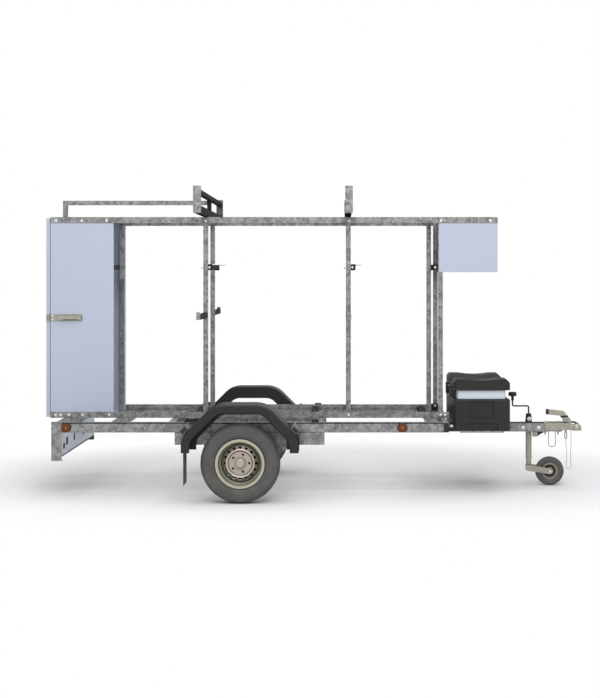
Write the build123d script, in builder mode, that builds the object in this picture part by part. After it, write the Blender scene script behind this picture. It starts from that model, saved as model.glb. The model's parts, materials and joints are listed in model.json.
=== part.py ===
"""Single-axle scaffolding trailer, standing on its two road wheels and its jockey wheel.

Millimetres.  +X points forwards to the coupling, +Y to the left, +Z up.  The ground is Z = 0 and
the origin lies on it, midway along the length and across the width.
"""
from build123d import *
import math
import os

os.makedirs("parts", exist_ok=True)

LEFT, RIGHT = 1, -1
SIDES = {"left": LEFT, "right": RIGHT}

# ---------------------------------------------------------------- driving dimensions
# clearances
RUNNING = 0.05            # radial, a shaft that turns in its bore
SEAT = 0.3                # between pieces of two bodies that rest on each other
SWING = 5.0               # around pieces that move

# chassis rails: rectangular hollow section
RAIL_HALF_SPAN = 617.0    # outer faces of the two rails
RAIL_WIDTH = 40.0
RAIL_HEIGHT = 76.0
RAIL_TOP = 572.0
RAIL_REAR = -1952.0
RAIL_FRONT = 938.0
RAIL_WALL = 3.0

# cross members and front tube
MEMBER_WIDTH = 50.0
MEMBER_TOP = 567.0
MEMBER_HEIGHT = 69.0
MEMBER_WALL = 3.0
REAR_MEMBER_X = -1905.0
CABIN_MEMBER_X = -1500.0
AXLE_MEMBER_X = -1075.0
MIDDLE_MEMBER_X = 23.0
FRONT_MEMBER_X = 869.0
FRONT_TUBE_DEPTH = 36.0
END_CAP_THICKNESS = 6.0

# axle
WHEEL_X = -551.0
TYRE_DIAMETER = 580.0
TYRE_WIDTH = 155.0
TYRE_RAIL_GAP = 28.0      # between a tyre's inner side wall and its rail
TYRE_SHOULDER = 24.0
TYRE_CROWN_DROP = 5.0
TYRE_TREAD = 20.0
TYRE_WALL = 14.0
BEAM_HEIGHT = 90.0
BEAM_WIDTH = 40.0
BEAM_WALL = 4.0
BEAM_REAR = -1044.0
BEAM_FRONT = 59.0
AXLE_TUBE = 70.0
AXLE_TUBE_WALL = 6.0
AXLE_TUBE_Z = 352.0
ARM_REACH = 150.0         # trailing arm, pivot to stub
ARM_THICKNESS = 22.0
ARM_PIVOT_RADIUS = 46.0
ARM_STUB_RADIUS = 34.0
STUB_RADIUS = 20.0
BRACKET_TOP_LENGTH = 440.0
BRACKET_FOOT_LENGTH = 190.0
BRACKET_WALL = 6.0
HUB_RADIUS = 55.0
HUB_BEARING = 62.0        # length of the hub barrel on its stub

# road wheel
BEAD_RADIUS = 165.0
FLANGE_RADIUS = 179.0
RIM_WELL_RADIUS = 146.0
RIM_WIDTH = 130.0
RIM_WALL = 5.0
DISC_INSET = 44.0         # disc behind the outer side wall
DISC_RADIUS = 85.0
VENT_COUNT = 16
VENT_RADIUS = 10.0
VENT_CIRCLE = 115.0
BOLT_COUNT = 5
BOLT_CIRCLE = 65.0
BOLT_HOLE = 7.0
CAP_RADIUS = 37.0
CAP_HEIGHT = 20.0

# drawbar
DRAWBAR_SIZE = 66.0
DRAWBAR_WALL = 4.0
DRAWBAR_REAR = -1100.0
DRAWBAR_FRONT = 1911.0

# coupling
NOSE_X = 2067.0
BALL_RADIUS = 25.0
CUP_RADIUS = 37.0
COUPLING_REAR = 1773.0
COUPLING_SHEET = 4.0
COUPLING_SKIRT = 60.0
BALL_Z = 456.0
HANDLE_WIDTH = 36.0
HANDLE_TOP = 604.0
HANDLE_REACH = 164.0
HANDLE_THICKNESS = 40.0
HANDLE_ELBOW = 37.0
HANDLE_ELBOW_DROP = 32.0
HANDLE_NECK = 56.0
HANDLE_NECK_TOP = 526.0
HANDLE_EDGE = 5.0

# fenders
FENDER_TOP = 722.0
FENDER_HALF_LENGTH = 425.0
FENDER_FLAT_HALF = 187.0
FENDER_FOOT = 372.0
FENDER_WIDTH = 200.0
FENDER_RAIL_GAP = 3.0
FENDER_WALL = 4.0
FENDER_SKIRT = 63.0
FENDER_INNER_SKIRT = 92.0
FENDER_CROWN = 190.0
FENDER_CORNER = 150.0
FENDER_EDGE = 14.0
SUPPORT_LONG = 60.0
SUPPORT_SHORT = 40.0
SUPPORT_WALL = 3.0
SUPPORT_Z = 536.0
FLAP_FOOT = 136.0
FLAP_LAP = 30.0
FLAP_THICKNESS = 4.0
FLAP_STRIP = 13.0

# superstructure of angle section
BODY_HALF_WIDTH = 285.0
ANGLE_HEIGHT = 46.0
ANGLE_WIDTH = 42.0
ANGLE_WALL = 3.0
BODY_TOP = 2098.0
BODY_REAR = -2034.0
TOP_RAIL_FRONT = 1375.0
BOTTOM_RAIL_FRONT = 1004.0
POST = 35.0
POST_WALL = 2.5
REAR_POST_X = -852.0
MIDDLE_POST_X = 238.0
FRONT_POST_X = 940.0
CENTRE_POST_X = 869.0
HANGING_POST_X = -1535.0
HANGING_POST_FOOT = 1625.0
TOP_MEMBER = 36.0

# load bars, floor bars and side arms
LOAD_BAR_Z = 1716.0
LOAD_BAR = 36.0
AXLE_FLOOR_BAR_X = -930.0
FLOOR_BAR_HEIGHT = 26.0
FLOOR_BAR_WIDTH = 48.0
ARM_Z = 1350.0
ARM_BAR = 40.0
ARM_END = 780.0
ARM_PLATE_WIDTH = 30.0
ARM_PLATE_HEIGHT = 56.0
ARM_PLATE_THICKNESS = 6.0

# roof racks
RACK_HALF_SPAN = 875.0
RACK_END_DEPTH = 27.0
RACK_END_WIDTH = 55.0
RACK_END_RISE = 20.0      # ends above the upper bars
RACK_FOOT_GAP = 3.0
RACK_WALL = 3.0
RACK_LOWER_HEIGHT = 62.0
RACK_UPPER_HEIGHT = 36.0
RACK_UPPER_TOP = 2276.0
RACK_BAR_WIDTH = 40.0
RACK_STRUT = 32.0
ROOF_BAR = 34.0
ROOF_BAR_WALL = 2.5
ROOF_BAR_TOP = 2238.0
ROOF_LEG_X = -1980.0

# cabinet, door and hood
PANEL = 2.0
CABINET_FRONT = -1555.0
CABINET_HEM = 9.0
CABINET_HEM_DEPTH = 20.0
CABINET_ROOF_REAR = -1962.0
DOOR_THICKNESS = 28.0
DOOR_REAR = -2067.0
DOOR_HALF_WIDTH = 280.0
DOOR_FOOT = 574.0
DOOR_TOP = 2090.0
DOOR_SKIN = 2.0
DOOR_RIM = 30.0
HINGE_RADIUS = 7.0
HINGE_PIN = 3.0
HINGE_INSET = 9.0         # pin axis ahead of the door's rear face
HINGE_STANDOFF = 9.0      # pin axis outside the body side
HINGE_LENGTH = 96.0
HINGE_LEAF = 3.0
HINGE_ZS = (800.0, 1332.0, 1864.0)
LATCH_Z = 1331.0
LATCH_HEIGHT = 48.0
LATCH_FRONT = -1790.0
KEEPER_SLIT = 6.0
KEEPER_DEPTH = 10.0
LEVER_LENGTH = 180.0
LEVER_HEIGHT = 35.0
HOOD_REAR = 927.0
HOOD_FLOOR = 1680.0

# light board
BOARD_REAR = -1952.0
BOARD_DEPTH = 77.0
BOARD_FOOT = 318.0
LEG_FOOT = 288.0
LEG_PLATE = 3.0
BOARD_SHEET = 3.0
BOARD_LIP = 24.0
SLOT_WIDTH = 9.0
SLOT_LENGTH = 55.0
SLOT_YS = (172.0, 437.0, 540.0)
SLOT_Z = 412.0
LAMP_WIDTH = 215.0
LAMP_HEIGHT = 104.0
LAMP_DEPTH = 46.0
LAMP_MARGIN = 21.5        # from the rail's outer face to the lamp
LAMP_Z = 395.0
MARKER_RADIUS = 35.5
MARKER_DEPTH = 16.0
MARKER_Z = 534.0
MARKER_XS = (-1842.0, 633.0)

# toolbox
BOX_REAR = 1035.0
BOX_LENGTH = 428.0
BOX_HALF_WIDTH = 350.0
BOX_FOOT = 475.0
BOX_RIM = 716.0
BOX_WALL = 5.0
BOX_CORNER = 22.0
COLLAR_HEIGHT = 62.0
BOX_RIM_EDGE = 12.0
RECESS_DEPTH = 12.0
UPPER_RECESS = 184.0
UPPER_RECESS_FOOT = 572.0
UPPER_RECESS_TOP = 698.0
LOWER_RECESS = 236.0
LOWER_RECESS_TOP = 534.0
COLLAR_INSET = 30.0
LID_GAP = 5.0
LID_HEIGHT = 84.0
LID_BEVEL = 30.0
LID_REAR_BEVEL = 20.0
LID_DIP = 11.0
LID_SHOULDER = 90.0
LID_CHANNEL_HALF = 170.0
LID_CHANNEL_DEPTH = 42.0
LID_CHANNEL_SLOPE = 15.0
BOX_STRIP = 13.0
BOX_STRIP_LENGTH = 330.0
BOX_STRIP_WIDTH = 40.0
BOX_ARM_PITCH = 240.0
BOX_ARM_WIDTH = 40.0
LID_PIN_RADIUS = 4.0
LID_KNUCKLE = 9.0

# jockey wheel
JOCKEY_X = 1662.0
TUBE_RADIUS = 24.0
TUBE_WALL = 2.5
INNER_TUBE_RADIUS = 20.5
OUTER_TUBE_FOOT = 212.0
OUTER_TUBE_TOP = 500.0
CLAMP_PLATE = 6.0
CLAMP_RING = 8.0
CLAMP_PITCH = 126.0
CLAMP_END = 18.0
CLAMP_MARGIN = 6.0
FORK_TOP = 160.0
FORK_FOOT = 116.0
FORK_PLATE = 5.0
FORK_SPIGOT = 40.0
JOCKEY_TRAIL = 164.0
JOCKEY_WHEEL_DIAMETER = 224.0
JOCKEY_WHEEL_WIDTH = 58.0
JOCKEY_RIM_RADIUS = 64.0
JOCKEY_AXLE_RADIUS = 6.0
CRANK_HEAD_RADIUS = 27.0
CRANK_HEAD_TOP = 563.0
CRANK_SHAFT_RADIUS = 6.0
CRANK_ARM_Z = 623.0
CRANK_REACH = 127.0
CRANK_KNOB_RADIUS = 11.0
CRANK_KNOB_FOOT = 667.0
CRANK_KNOB_TOP = 733.0
CRANK_CAP_RADIUS = 32.0
CRANK_CAP_HEIGHT = 31.0
CRANK_CAP_EDGE = 10.0

# bail, safety cable and its snap hook
BAIL_WIRE = 3.0
BAIL_X = 1836.0
BAIL_HALF_WIDTH = 27.0
BAIL_FOOT = 310.0
CABLE_DIAMETER = 4.0
HOOK_WIRE = 3.5
HOOK_TOP = 428.0
HOOK_LENGTH = 58.0
HOOK_WIDTH = 22.0
HOOK_X = 1944.0

# ---------------------------------------------------------------- places worked out from them
RAIL_FOOT = RAIL_TOP - RAIL_HEIGHT
RAIL_INNER = RAIL_HALF_SPAN - RAIL_WIDTH
MEMBER_FOOT = MEMBER_TOP - MEMBER_HEIGHT
MEMBER_Z = MEMBER_TOP - MEMBER_HEIGHT / 2
BEAM_FOOT = RAIL_FOOT - BEAM_HEIGHT
WHEEL_Z = TYRE_DIAMETER / 2
TYRE_FACE = RAIL_HALF_SPAN + TYRE_RAIL_GAP + TYRE_WIDTH
FENDER_INNER = RAIL_HALF_SPAN + FENDER_RAIL_GAP
LAMP_Y = RAIL_HALF_SPAN - LAMP_MARGIN - LAMP_WIDTH / 2
RACK_TOP = RACK_UPPER_TOP + RACK_END_RISE
TYRE_Y = TYRE_FACE - TYRE_WIDTH / 2
AXLE_TUBE_X = WHEEL_X + ARM_REACH
ARM_OUTER = TYRE_FACE - TYRE_WIDTH - SWING - 2
ARM_INNER = ARM_OUTER - ARM_THICKNESS
BRACKET_Y = RAIL_HALF_SPAN - BEAM_WIDTH / 2
DISC_FACE = TYRE_FACE - DISC_INSET
DRAWBAR_TOP = MEMBER_FOOT
DRAWBAR_Z = DRAWBAR_TOP - DRAWBAR_SIZE / 2
DRAWBAR_FOOT = DRAWBAR_TOP - DRAWBAR_SIZE
BODY_FOOT = MEMBER_TOP
WEB_INNER = BODY_HALF_WIDTH - ANGLE_WALL
POST_OUTER = WEB_INNER - PANEL
POST_Y = POST_OUTER - POST / 2
POST_INNER = POST_OUTER - POST
INSIDE_FOOT = BODY_FOOT + ANGLE_WALL
INSIDE_TOP = BODY_TOP - ANGLE_WALL
TOP_MEMBER_Z = INSIDE_TOP - TOP_MEMBER / 2
POST_XS = (REAR_POST_X, MIDDLE_POST_X, FRONT_POST_X)
RACK_XS = (REAR_POST_X, MIDDLE_POST_X)
CABINET_POST_X = CABINET_FRONT - CABINET_HEM - POST / 2
DOOR_POST_X = BODY_REAR + POST / 2
HINGE_X = DOOR_REAR + HINGE_INSET
HINGE_Y = BODY_HALF_WIDTH + HINGE_STANDOFF
BOX_FRONT = BOX_REAR + BOX_LENGTH
BOX_X = BOX_REAR + BOX_LENGTH / 2
LID_FOOT = BOX_RIM + COLLAR_HEIGHT + LID_GAP
LID_TOP = LID_FOOT + LID_HEIGHT
LID_PIN_X = BOX_REAR - LID_KNUCKLE - 2
LID_PIN_Z = LID_FOOT + LID_KNUCKLE
JOCKEY_Y = DRAWBAR_SIZE / 2 + CLAMP_PLATE + TUBE_RADIUS
JOCKEY_WHEEL_X = JOCKEY_X + JOCKEY_TRAIL
JOCKEY_WHEEL_Z = JOCKEY_WHEEL_DIAMETER / 2
CUP_X = NOSE_X - CUP_RADIUS
COUPLING_TOP = DRAWBAR_TOP + COUPLING_SHEET


# ---------------------------------------------------------------- shared shapes
def block(xs, ys, zs, mode=Mode.ADD):
    """Rectangular block between the two ends of each span."""
    middle = ((xs[0] + xs[1]) / 2, (ys[0] + ys[1]) / 2, (zs[0] + zs[1]) / 2)
    with Locations(middle):
        Box(abs(xs[1] - xs[0]), abs(ys[1] - ys[0]), abs(zs[1] - zs[0]), mode=mode)


def hollow_section(plane, width, height, wall, length):
    """Rectangular tube that starts on the plane and runs along its normal."""
    with BuildSketch(plane) as section:
        Rectangle(width, height)
        Rectangle(width - 2 * wall, height - 2 * wall, mode=Mode.SUBTRACT)
    extrude(section.sketch, amount=length)


def along_x(x, y, z):
    """Plane across the X axis, its own X axis along +Y and its Y axis up."""
    return Plane(origin=(x, y, z), x_dir=(0, 1, 0), z_dir=(1, 0, 0))


def along_y(x, y, z, side=LEFT):
    """Plane across the Y axis whose normal points outwards on the given side."""
    return Plane(origin=(x, y, z), x_dir=(1, 0, 0), z_dir=(0, side, 0))


def side_view(y):
    """Upright plane at a distance across the trailer: X forwards, Y up, its normal to the right."""
    return Plane(origin=(0, y, 0), x_dir=(1, 0, 0), z_dir=(0, -1, 0))


def upright(x, y, z):
    """Level plane at a point, its normal up."""
    return Plane.XY.offset(z).move(Location((x, y, 0)))


def half_plane(side, x, z):
    """Plane through a wheel's axis: its X axis outwards along the axle, its Y axis up."""
    return Plane(origin=(x, 0, z), x_dir=(0, side, 0), z_dir=(side, 0, 0))


def span(side, inner, outer):
    """The two ends of a stretch across the trailer, on one side of it."""
    return (side * inner, side * outer)


def write(piece, name):
    """Label a finished piece and write it to its own file."""
    piece.label = name
    export_step(piece, f"parts/{name}.step")


# ---------------------------------------------------------------- chassis
with BuildPart() as chassis_rails:
    for side in SIDES.values():
        rail_plane = along_x(RAIL_REAR, side * (RAIL_HALF_SPAN - RAIL_WIDTH / 2),
                             RAIL_TOP - RAIL_HEIGHT / 2)
        with BuildSketch(rail_plane):
            RectangleRounded(RAIL_WIDTH, RAIL_HEIGHT, 2 * RAIL_WALL)
            Rectangle(RAIL_WIDTH - 2 * RAIL_WALL, RAIL_HEIGHT - 2 * RAIL_WALL, mode=Mode.SUBTRACT)
        extrude(amount=RAIL_FRONT - RAIL_REAR)
write(chassis_rails.part, "chassis_rails")

with BuildPart() as cross_members:
    for x in (REAR_MEMBER_X, CABIN_MEMBER_X, AXLE_MEMBER_X, MIDDLE_MEMBER_X, FRONT_MEMBER_X):
        hollow_section(along_y(x, -RAIL_INNER, MEMBER_Z), MEMBER_WIDTH, MEMBER_HEIGHT,
                       MEMBER_WALL, 2 * RAIL_INNER)
    hollow_section(along_y(RAIL_FRONT + FRONT_TUBE_DEPTH / 2, -RAIL_HALF_SPAN, MEMBER_Z),
                   FRONT_TUBE_DEPTH, MEMBER_HEIGHT, MEMBER_WALL, 2 * RAIL_HALF_SPAN)
write(cross_members.part, "cross_members")

# ---------------------------------------------------------------- axle
with BuildPart() as axle_beams:
    for side in SIDES.values():
        with BuildSketch(along_x(BEAM_REAR, side * (RAIL_HALF_SPAN - BEAM_WIDTH / 2),
                                 RAIL_FOOT - BEAM_HEIGHT / 2)):
            Rectangle(BEAM_WIDTH, BEAM_HEIGHT)
            with Locations((-side * BEAM_WALL, 0)):
                Rectangle(BEAM_WIDTH, BEAM_HEIGHT - 2 * BEAM_WALL, mode=Mode.SUBTRACT)
        extrude(amount=BEAM_FRONT - BEAM_REAR)
        with BuildSketch(side_view(side * BRACKET_Y)):
            bracket_foot = AXLE_TUBE_Z - AXLE_TUBE / 2 - BRACKET_WALL
            with BuildLine():
                Polyline((AXLE_TUBE_X - BRACKET_TOP_LENGTH / 2, BEAM_FOOT),
                         (AXLE_TUBE_X + BRACKET_TOP_LENGTH / 2, BEAM_FOOT),
                         (AXLE_TUBE_X + BRACKET_FOOT_LENGTH / 2, bracket_foot),
                         (AXLE_TUBE_X - BRACKET_FOOT_LENGTH / 2, bracket_foot), close=True)
            make_face()
            with Locations((AXLE_TUBE_X, AXLE_TUBE_Z)):
                Rectangle(AXLE_TUBE, AXLE_TUBE, mode=Mode.SUBTRACT)
        extrude(amount=side * BRACKET_WALL)
write(axle_beams.part, "axle_beams")

with BuildPart() as axle:
    hollow_section(along_y(AXLE_TUBE_X, -ARM_INNER, AXLE_TUBE_Z), AXLE_TUBE, AXLE_TUBE,
                   AXLE_TUBE_WALL, 2 * ARM_INNER)
    for side in SIDES.values():
        with BuildSketch(side_view(side * ARM_INNER)):
            with Locations((AXLE_TUBE_X, AXLE_TUBE_Z)):
                Circle(ARM_PIVOT_RADIUS)
            with Locations((WHEEL_X, WHEEL_Z)):
                Circle(ARM_STUB_RADIUS)
            make_hull()
        extrude(amount=-side * ARM_THICKNESS)
        with BuildSketch(side_view(side * ARM_OUTER)):
            with Locations((WHEEL_X, WHEEL_Z)):
                Circle(STUB_RADIUS)
        extrude(amount=-side * (DISC_FACE - ARM_OUTER - SWING))
write(axle.part, "axle")

# ---------------------------------------------------------------- road wheels
for name, side in SIDES.items():
    axle_line = Axis((WHEEL_X, 0, WHEEL_Z), (0, 1, 0))
    inner_face = TYRE_FACE - TYRE_WIDTH

    with BuildPart() as tyre:
        bead_in = inner_face + (TYRE_WIDTH - RIM_WIDTH) / 2
        bead_out = TYRE_FACE - (TYRE_WIDTH - RIM_WIDTH) / 2
        crown = WHEEL_Z - TYRE_CROWN_DROP
        widest = (WHEEL_Z + FLANGE_RADIUS) / 2
        cavity = WHEEL_Z - TYRE_TREAD
        with BuildSketch(half_plane(side, WHEEL_X, WHEEL_Z)):
            with BuildLine():
                ThreePointArc((inner_face + TYRE_SHOULDER, crown), (TYRE_Y, WHEEL_Z),
                              (TYRE_FACE - TYRE_SHOULDER, crown))
                TangentArc((TYRE_FACE, widest), (TYRE_FACE - TYRE_SHOULDER, crown), tangent=(0, 1))
                TangentArc((TYRE_FACE, widest), (bead_out, FLANGE_RADIUS), tangent=(0, -1))
                Polyline((bead_out, FLANGE_RADIUS), (bead_out, BEAD_RADIUS),
                         (bead_out - TYRE_WALL, BEAD_RADIUS), (TYRE_FACE - TYRE_WALL, widest),
                         (TYRE_FACE - TYRE_SHOULDER, cavity), (inner_face + TYRE_SHOULDER, cavity),
                         (inner_face + TYRE_WALL, widest), (bead_in + TYRE_WALL, BEAD_RADIUS),
                         (bead_in, BEAD_RADIUS), (bead_in, FLANGE_RADIUS))
                TangentArc((inner_face, widest), (bead_in, FLANGE_RADIUS), tangent=(0, -1))
                TangentArc((inner_face, widest), (inner_face + TYRE_SHOULDER, crown), tangent=(0, 1))
            make_face()
        revolve(axis=axle_line)
    write(tyre.part, f"tyre_{name}")

    with BuildPart() as rim:
        with BuildSketch(half_plane(side, WHEEL_X, WHEEL_Z)):
            with BuildLine():
                flange_in = bead_in
                flange_out = bead_out
                well_in = inner_face + 50
                well_out = DISC_FACE
                seat_radius = BEAD_RADIUS - SEAT
                Polyline((flange_in - RIM_WALL, FLANGE_RADIUS), (flange_in, FLANGE_RADIUS),
                         (flange_in, seat_radius), (well_in - 14, seat_radius),
                         (well_in, RIM_WELL_RADIUS), (well_out - 30, RIM_WELL_RADIUS),
                         (well_out - 10, seat_radius), (flange_out, seat_radius),
                         (flange_out, FLANGE_RADIUS), (flange_out + RIM_WALL, FLANGE_RADIUS),
                         (flange_out + RIM_WALL, seat_radius - RIM_WALL),
                         (well_out - 8, seat_radius - RIM_WALL),
                         (well_out - 26, RIM_WELL_RADIUS - RIM_WALL),
                         (well_in, RIM_WELL_RADIUS - RIM_WALL),
                         (well_in - 14, seat_radius - RIM_WALL),
                         (flange_in - RIM_WALL, seat_radius - RIM_WALL), close=True)
            make_face()
        revolve(axis=axle_line)
        with BuildSketch(half_plane(side, WHEEL_X, WHEEL_Z)):
            with BuildLine():
                Polyline((DISC_FACE - 14, CAP_RADIUS), (DISC_FACE - 14, DISC_RADIUS - 3),
                         (DISC_FACE, DISC_RADIUS + 14), (DISC_FACE - 12, RIM_WELL_RADIUS - 14),
                         (DISC_FACE - 40, RIM_WELL_RADIUS - RIM_WALL),
                         (DISC_FACE - 50, RIM_WELL_RADIUS - RIM_WALL),
                         (DISC_FACE - 20, RIM_WELL_RADIUS - 20), (DISC_FACE - 7, DISC_RADIUS + 14),
                         (DISC_FACE - 20, DISC_RADIUS), (DISC_FACE - 20, CAP_RADIUS), close=True)
            make_face()
        revolve(axis=axle_line)
        vent_plane = Plane(origin=(WHEEL_X, side * DISC_FACE, WHEEL_Z), x_dir=(1, 0, 0),
                           z_dir=(0, side, 0))
        with BuildSketch(vent_plane):
            with PolarLocations(VENT_CIRCLE, VENT_COUNT):
                Circle(VENT_RADIUS)
            with PolarLocations(BOLT_CIRCLE, BOLT_COUNT):
                Circle(BOLT_HOLE)
        extrude(amount=-60, mode=Mode.SUBTRACT)
        hub_face = DISC_FACE - 20
        cap_bore = STUB_RADIUS + SWING
        with BuildSketch(half_plane(side, WHEEL_X, WHEEL_Z)):
            with BuildLine():
                Polyline((hub_face, STUB_RADIUS + RUNNING), (hub_face, DISC_RADIUS - 6),
                         (hub_face - 10, DISC_RADIUS - 6), (hub_face - 10, HUB_RADIUS),
                         (hub_face - HUB_BEARING, HUB_RADIUS - 10),
                         (hub_face - HUB_BEARING, STUB_RADIUS + RUNNING), close=True)
            make_face()
            with BuildLine():
                cap_face = DISC_FACE + CAP_HEIGHT
                Polyline((hub_face, STUB_RADIUS + RUNNING), (hub_face, CAP_RADIUS),
                         (cap_face - 8, CAP_RADIUS - 2), (cap_face, CAP_RADIUS - 12), (cap_face, 0),
                         (cap_face - 4, 0), (cap_face - 4, cap_bore), (hub_face + 4, cap_bore),
                         (hub_face + 4, STUB_RADIUS + RUNNING), close=True)
            make_face()
        revolve(axis=axle_line)
    write(rim.part, f"rim_{name}")

# ---------------------------------------------------------------- drawbar and coupling
with BuildPart() as drawbar:
    hollow_section(along_x(DRAWBAR_REAR, 0, DRAWBAR_Z), DRAWBAR_SIZE, DRAWBAR_SIZE, DRAWBAR_WALL,
                   DRAWBAR_FRONT - DRAWBAR_REAR)
write(drawbar.part, "drawbar")

NOSE_SECTION_X = CUP_X - CUP_RADIUS / 2
NOSE_SECTION_Z = BALL_Z + 8
NOSE_SECTION_HEIGHT = 1.1 * CUP_RADIUS


def head_surface(x, section_z):
    """Height on the coupling's tapered neck, from its saddle to the given height at its nose."""
    saddle_z = COUPLING_TOP if section_z > NOSE_SECTION_Z else COUPLING_TOP - COUPLING_SKIRT
    share = (x - DRAWBAR_FRONT) / (NOSE_SECTION_X - DRAWBAR_FRONT)
    return saddle_z + share * (section_z - saddle_z)


def head_top(x):
    """Height of the neck's upper side."""
    return head_surface(x, NOSE_SECTION_Z + NOSE_SECTION_HEIGHT / 2)


def head_foot(x):
    """Height of the neck's lower side."""
    return head_surface(x, NOSE_SECTION_Z - NOSE_SECTION_HEIGHT / 2)


with BuildPart() as coupling_head:
    saddle_half = DRAWBAR_SIZE / 2 + COUPLING_SHEET
    with BuildSketch(along_x(COUPLING_REAR, 0, 0)):
        with Locations((0, COUPLING_TOP)):
            Rectangle(2 * saddle_half, COUPLING_SKIRT, align=(Align.CENTER, Align.MAX))
        with Locations((0, DRAWBAR_TOP)):
            Rectangle(DRAWBAR_SIZE, COUPLING_SKIRT, align=(Align.CENTER, Align.MAX),
                      mode=Mode.SUBTRACT)
    extrude(amount=DRAWBAR_FRONT - COUPLING_REAR)
    with BuildSketch(along_x(DRAWBAR_FRONT, 0, COUPLING_TOP - COUPLING_SKIRT / 2)):
        RectangleRounded(2 * saddle_half, COUPLING_SKIRT, COUPLING_SHEET)
    with BuildSketch(along_x(NOSE_SECTION_X, 0, NOSE_SECTION_Z)):
        RectangleRounded(1.5 * CUP_RADIUS, NOSE_SECTION_HEIGHT, CUP_RADIUS / 3)
    loft()
    with BuildSketch(side_view(BAIL_WIRE)):
        with BuildLine():
            Polyline((HOOK_X - 8, head_foot(HOOK_X - 8) + 1), (HOOK_X + 8, head_foot(HOOK_X + 8) + 1),
                     (HOOK_X + 5, HOOK_TOP), (HOOK_X - 5, HOOK_TOP), close=True)
        make_face()
    extrude(amount=2 * BAIL_WIRE)
    with Locations((CUP_X, 0, BALL_Z)):
        Sphere(CUP_RADIUS)
    with BuildSketch(Plane.XY.offset(BALL_Z - 0.7 * BALL_RADIUS)):
        with Locations((CUP_X, 0)):
            Circle(CUP_RADIUS)
    extrude(amount=0.7 * BALL_RADIUS)
    block((CUP_X - CUP_RADIUS, NOSE_X + 1), (-CUP_RADIUS - 1, CUP_RADIUS + 1),
          (BALL_Z - CUP_RADIUS - 1, BALL_Z - 0.7 * BALL_RADIUS), mode=Mode.SUBTRACT)
    with Locations((CUP_X, 0, BALL_Z)):
        Sphere(BALL_RADIUS, mode=Mode.SUBTRACT)
    with BuildSketch(Plane.XY.offset(BALL_Z)):
        with Locations((CUP_X, 0)):
            Circle(BALL_RADIUS)
    extrude(amount=-CUP_RADIUS - 20, mode=Mode.SUBTRACT)
write(coupling_head.part, "coupling_head")

with BuildPart() as coupling_handle:
    neck_x = DRAWBAR_FRONT + 41
    neck_rear, neck_front = neck_x - HANDLE_NECK / 2, neck_x + HANDLE_NECK / 2
    grip_end = (neck_x - HANDLE_REACH + HANDLE_THICKNESS / 2, HANDLE_TOP - HANDLE_THICKNESS / 2)
    elbow = (neck_x - HANDLE_ELBOW, HANDLE_TOP - HANDLE_ELBOW_DROP)
    with BuildSketch(side_view(HANDLE_WIDTH / 2)):
        with Locations(grip_end, elbow):
            Circle(HANDLE_THICKNESS / 2)
        make_hull()
    with BuildSketch(side_view(HANDLE_WIDTH / 2)):
        with Locations(elbow):
            Circle(HANDLE_THICKNESS / 2)
        with BuildLine():
            Polyline((neck_rear, HANDLE_NECK_TOP - 8), (neck_front, HANDLE_NECK_TOP - 8),
                     (neck_front, HANDLE_NECK_TOP), (neck_rear, HANDLE_NECK_TOP), close=True)
        make_face()
        make_hull()
    extrude(amount=HANDLE_WIDTH)
    fillet(coupling_handle.edges().filter_by(Axis.Y, reverse=True), HANDLE_EDGE)
    with BuildSketch(side_view(HANDLE_WIDTH / 2)):
        with BuildLine():
            Polyline((neck_rear, head_top(neck_rear)), (neck_front - 2, head_top(neck_front - 2)),
                     (neck_front, HANDLE_NECK_TOP - 4), (neck_rear, HANDLE_NECK_TOP - 4), close=True)
        make_face()
    extrude(amount=HANDLE_WIDTH)
write(coupling_handle.part, "coupling_handle")


# ---------------------------------------------------------------- fenders
def fender_outline(inset, foot):
    """Closed, rounded octagonal arch, every wall moved inwards by the inset, down to the foot."""
    half_length = FENDER_HALF_LENGTH - inset
    slope_drop = FENDER_HALF_LENGTH - FENDER_FLAT_HALF
    shift = inset * math.tan(math.radians(22.5))
    flat_half = FENDER_FLAT_HALF - shift
    knee = FENDER_TOP - slope_drop - shift
    top = FENDER_TOP - inset
    crown, corner = FENDER_CROWN - inset, FENDER_CORNER - inset
    with BuildLine() as outline:
        FilletPolyline((half_length, foot), (half_length, knee), (flat_half, top),
                       (-flat_half, top), (-half_length, knee), (-half_length, foot),
                       radius=[corner, crown, crown, corner])
        Line((-half_length, foot), (half_length, foot))
    return outline.line


def arch_face(side, inset, foot, depth=0.0):
    """The arch's outline filled, at a depth from the fender's inner side."""
    with BuildSketch(side_view(side * (FENDER_INNER + depth))) as arch:
        with Locations((WHEEL_X, 0)):
            add(make_face(fender_outline(inset, foot).edges(), mode=Mode.PRIVATE))
    return arch.sketch


def arch_body(side, inset, foot, edge):
    """Arch between the fender's sides, every face moved inwards by the inset, outer edge rounded."""
    with BuildPart() as body:
        extrude(arch_face(side, inset, foot, inset), amount=-side * (FENDER_WIDTH - 2 * inset))
        outer_face = body.faces().sort_by(Axis.Y)[-1 if side == LEFT else 0]
        fillet(outer_face.edges().filter_by(lambda e: e.center().Z > foot + 2), edge)
    return body.part


fender_solids = []
for side in SIDES.values():
    hull = arch_body(side, 0, FENDER_FOOT, FENDER_EDGE)
    cavity = arch_body(side, FENDER_WALL, FENDER_FOOT - 1, FENDER_EDGE - FENDER_WALL)
    with BuildPart() as fender:
        add(hull)
        extrude(arch_face(side, FENDER_INNER_SKIRT, FENDER_FOOT - 1),
                amount=-side * FENDER_WIDTH / 2, mode=Mode.SUBTRACT)
        extrude(arch_face(side, FENDER_SKIRT, FENDER_FOOT - 1, FENDER_WIDTH / 2),
                amount=-side * FENDER_WIDTH / 2, mode=Mode.SUBTRACT)
        add(cavity, mode=Mode.SUBTRACT)
    fender_solids.append(fender.part)

with BuildPart() as fenders:
    add(fender_solids)
write(fenders.part, "fenders")

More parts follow.
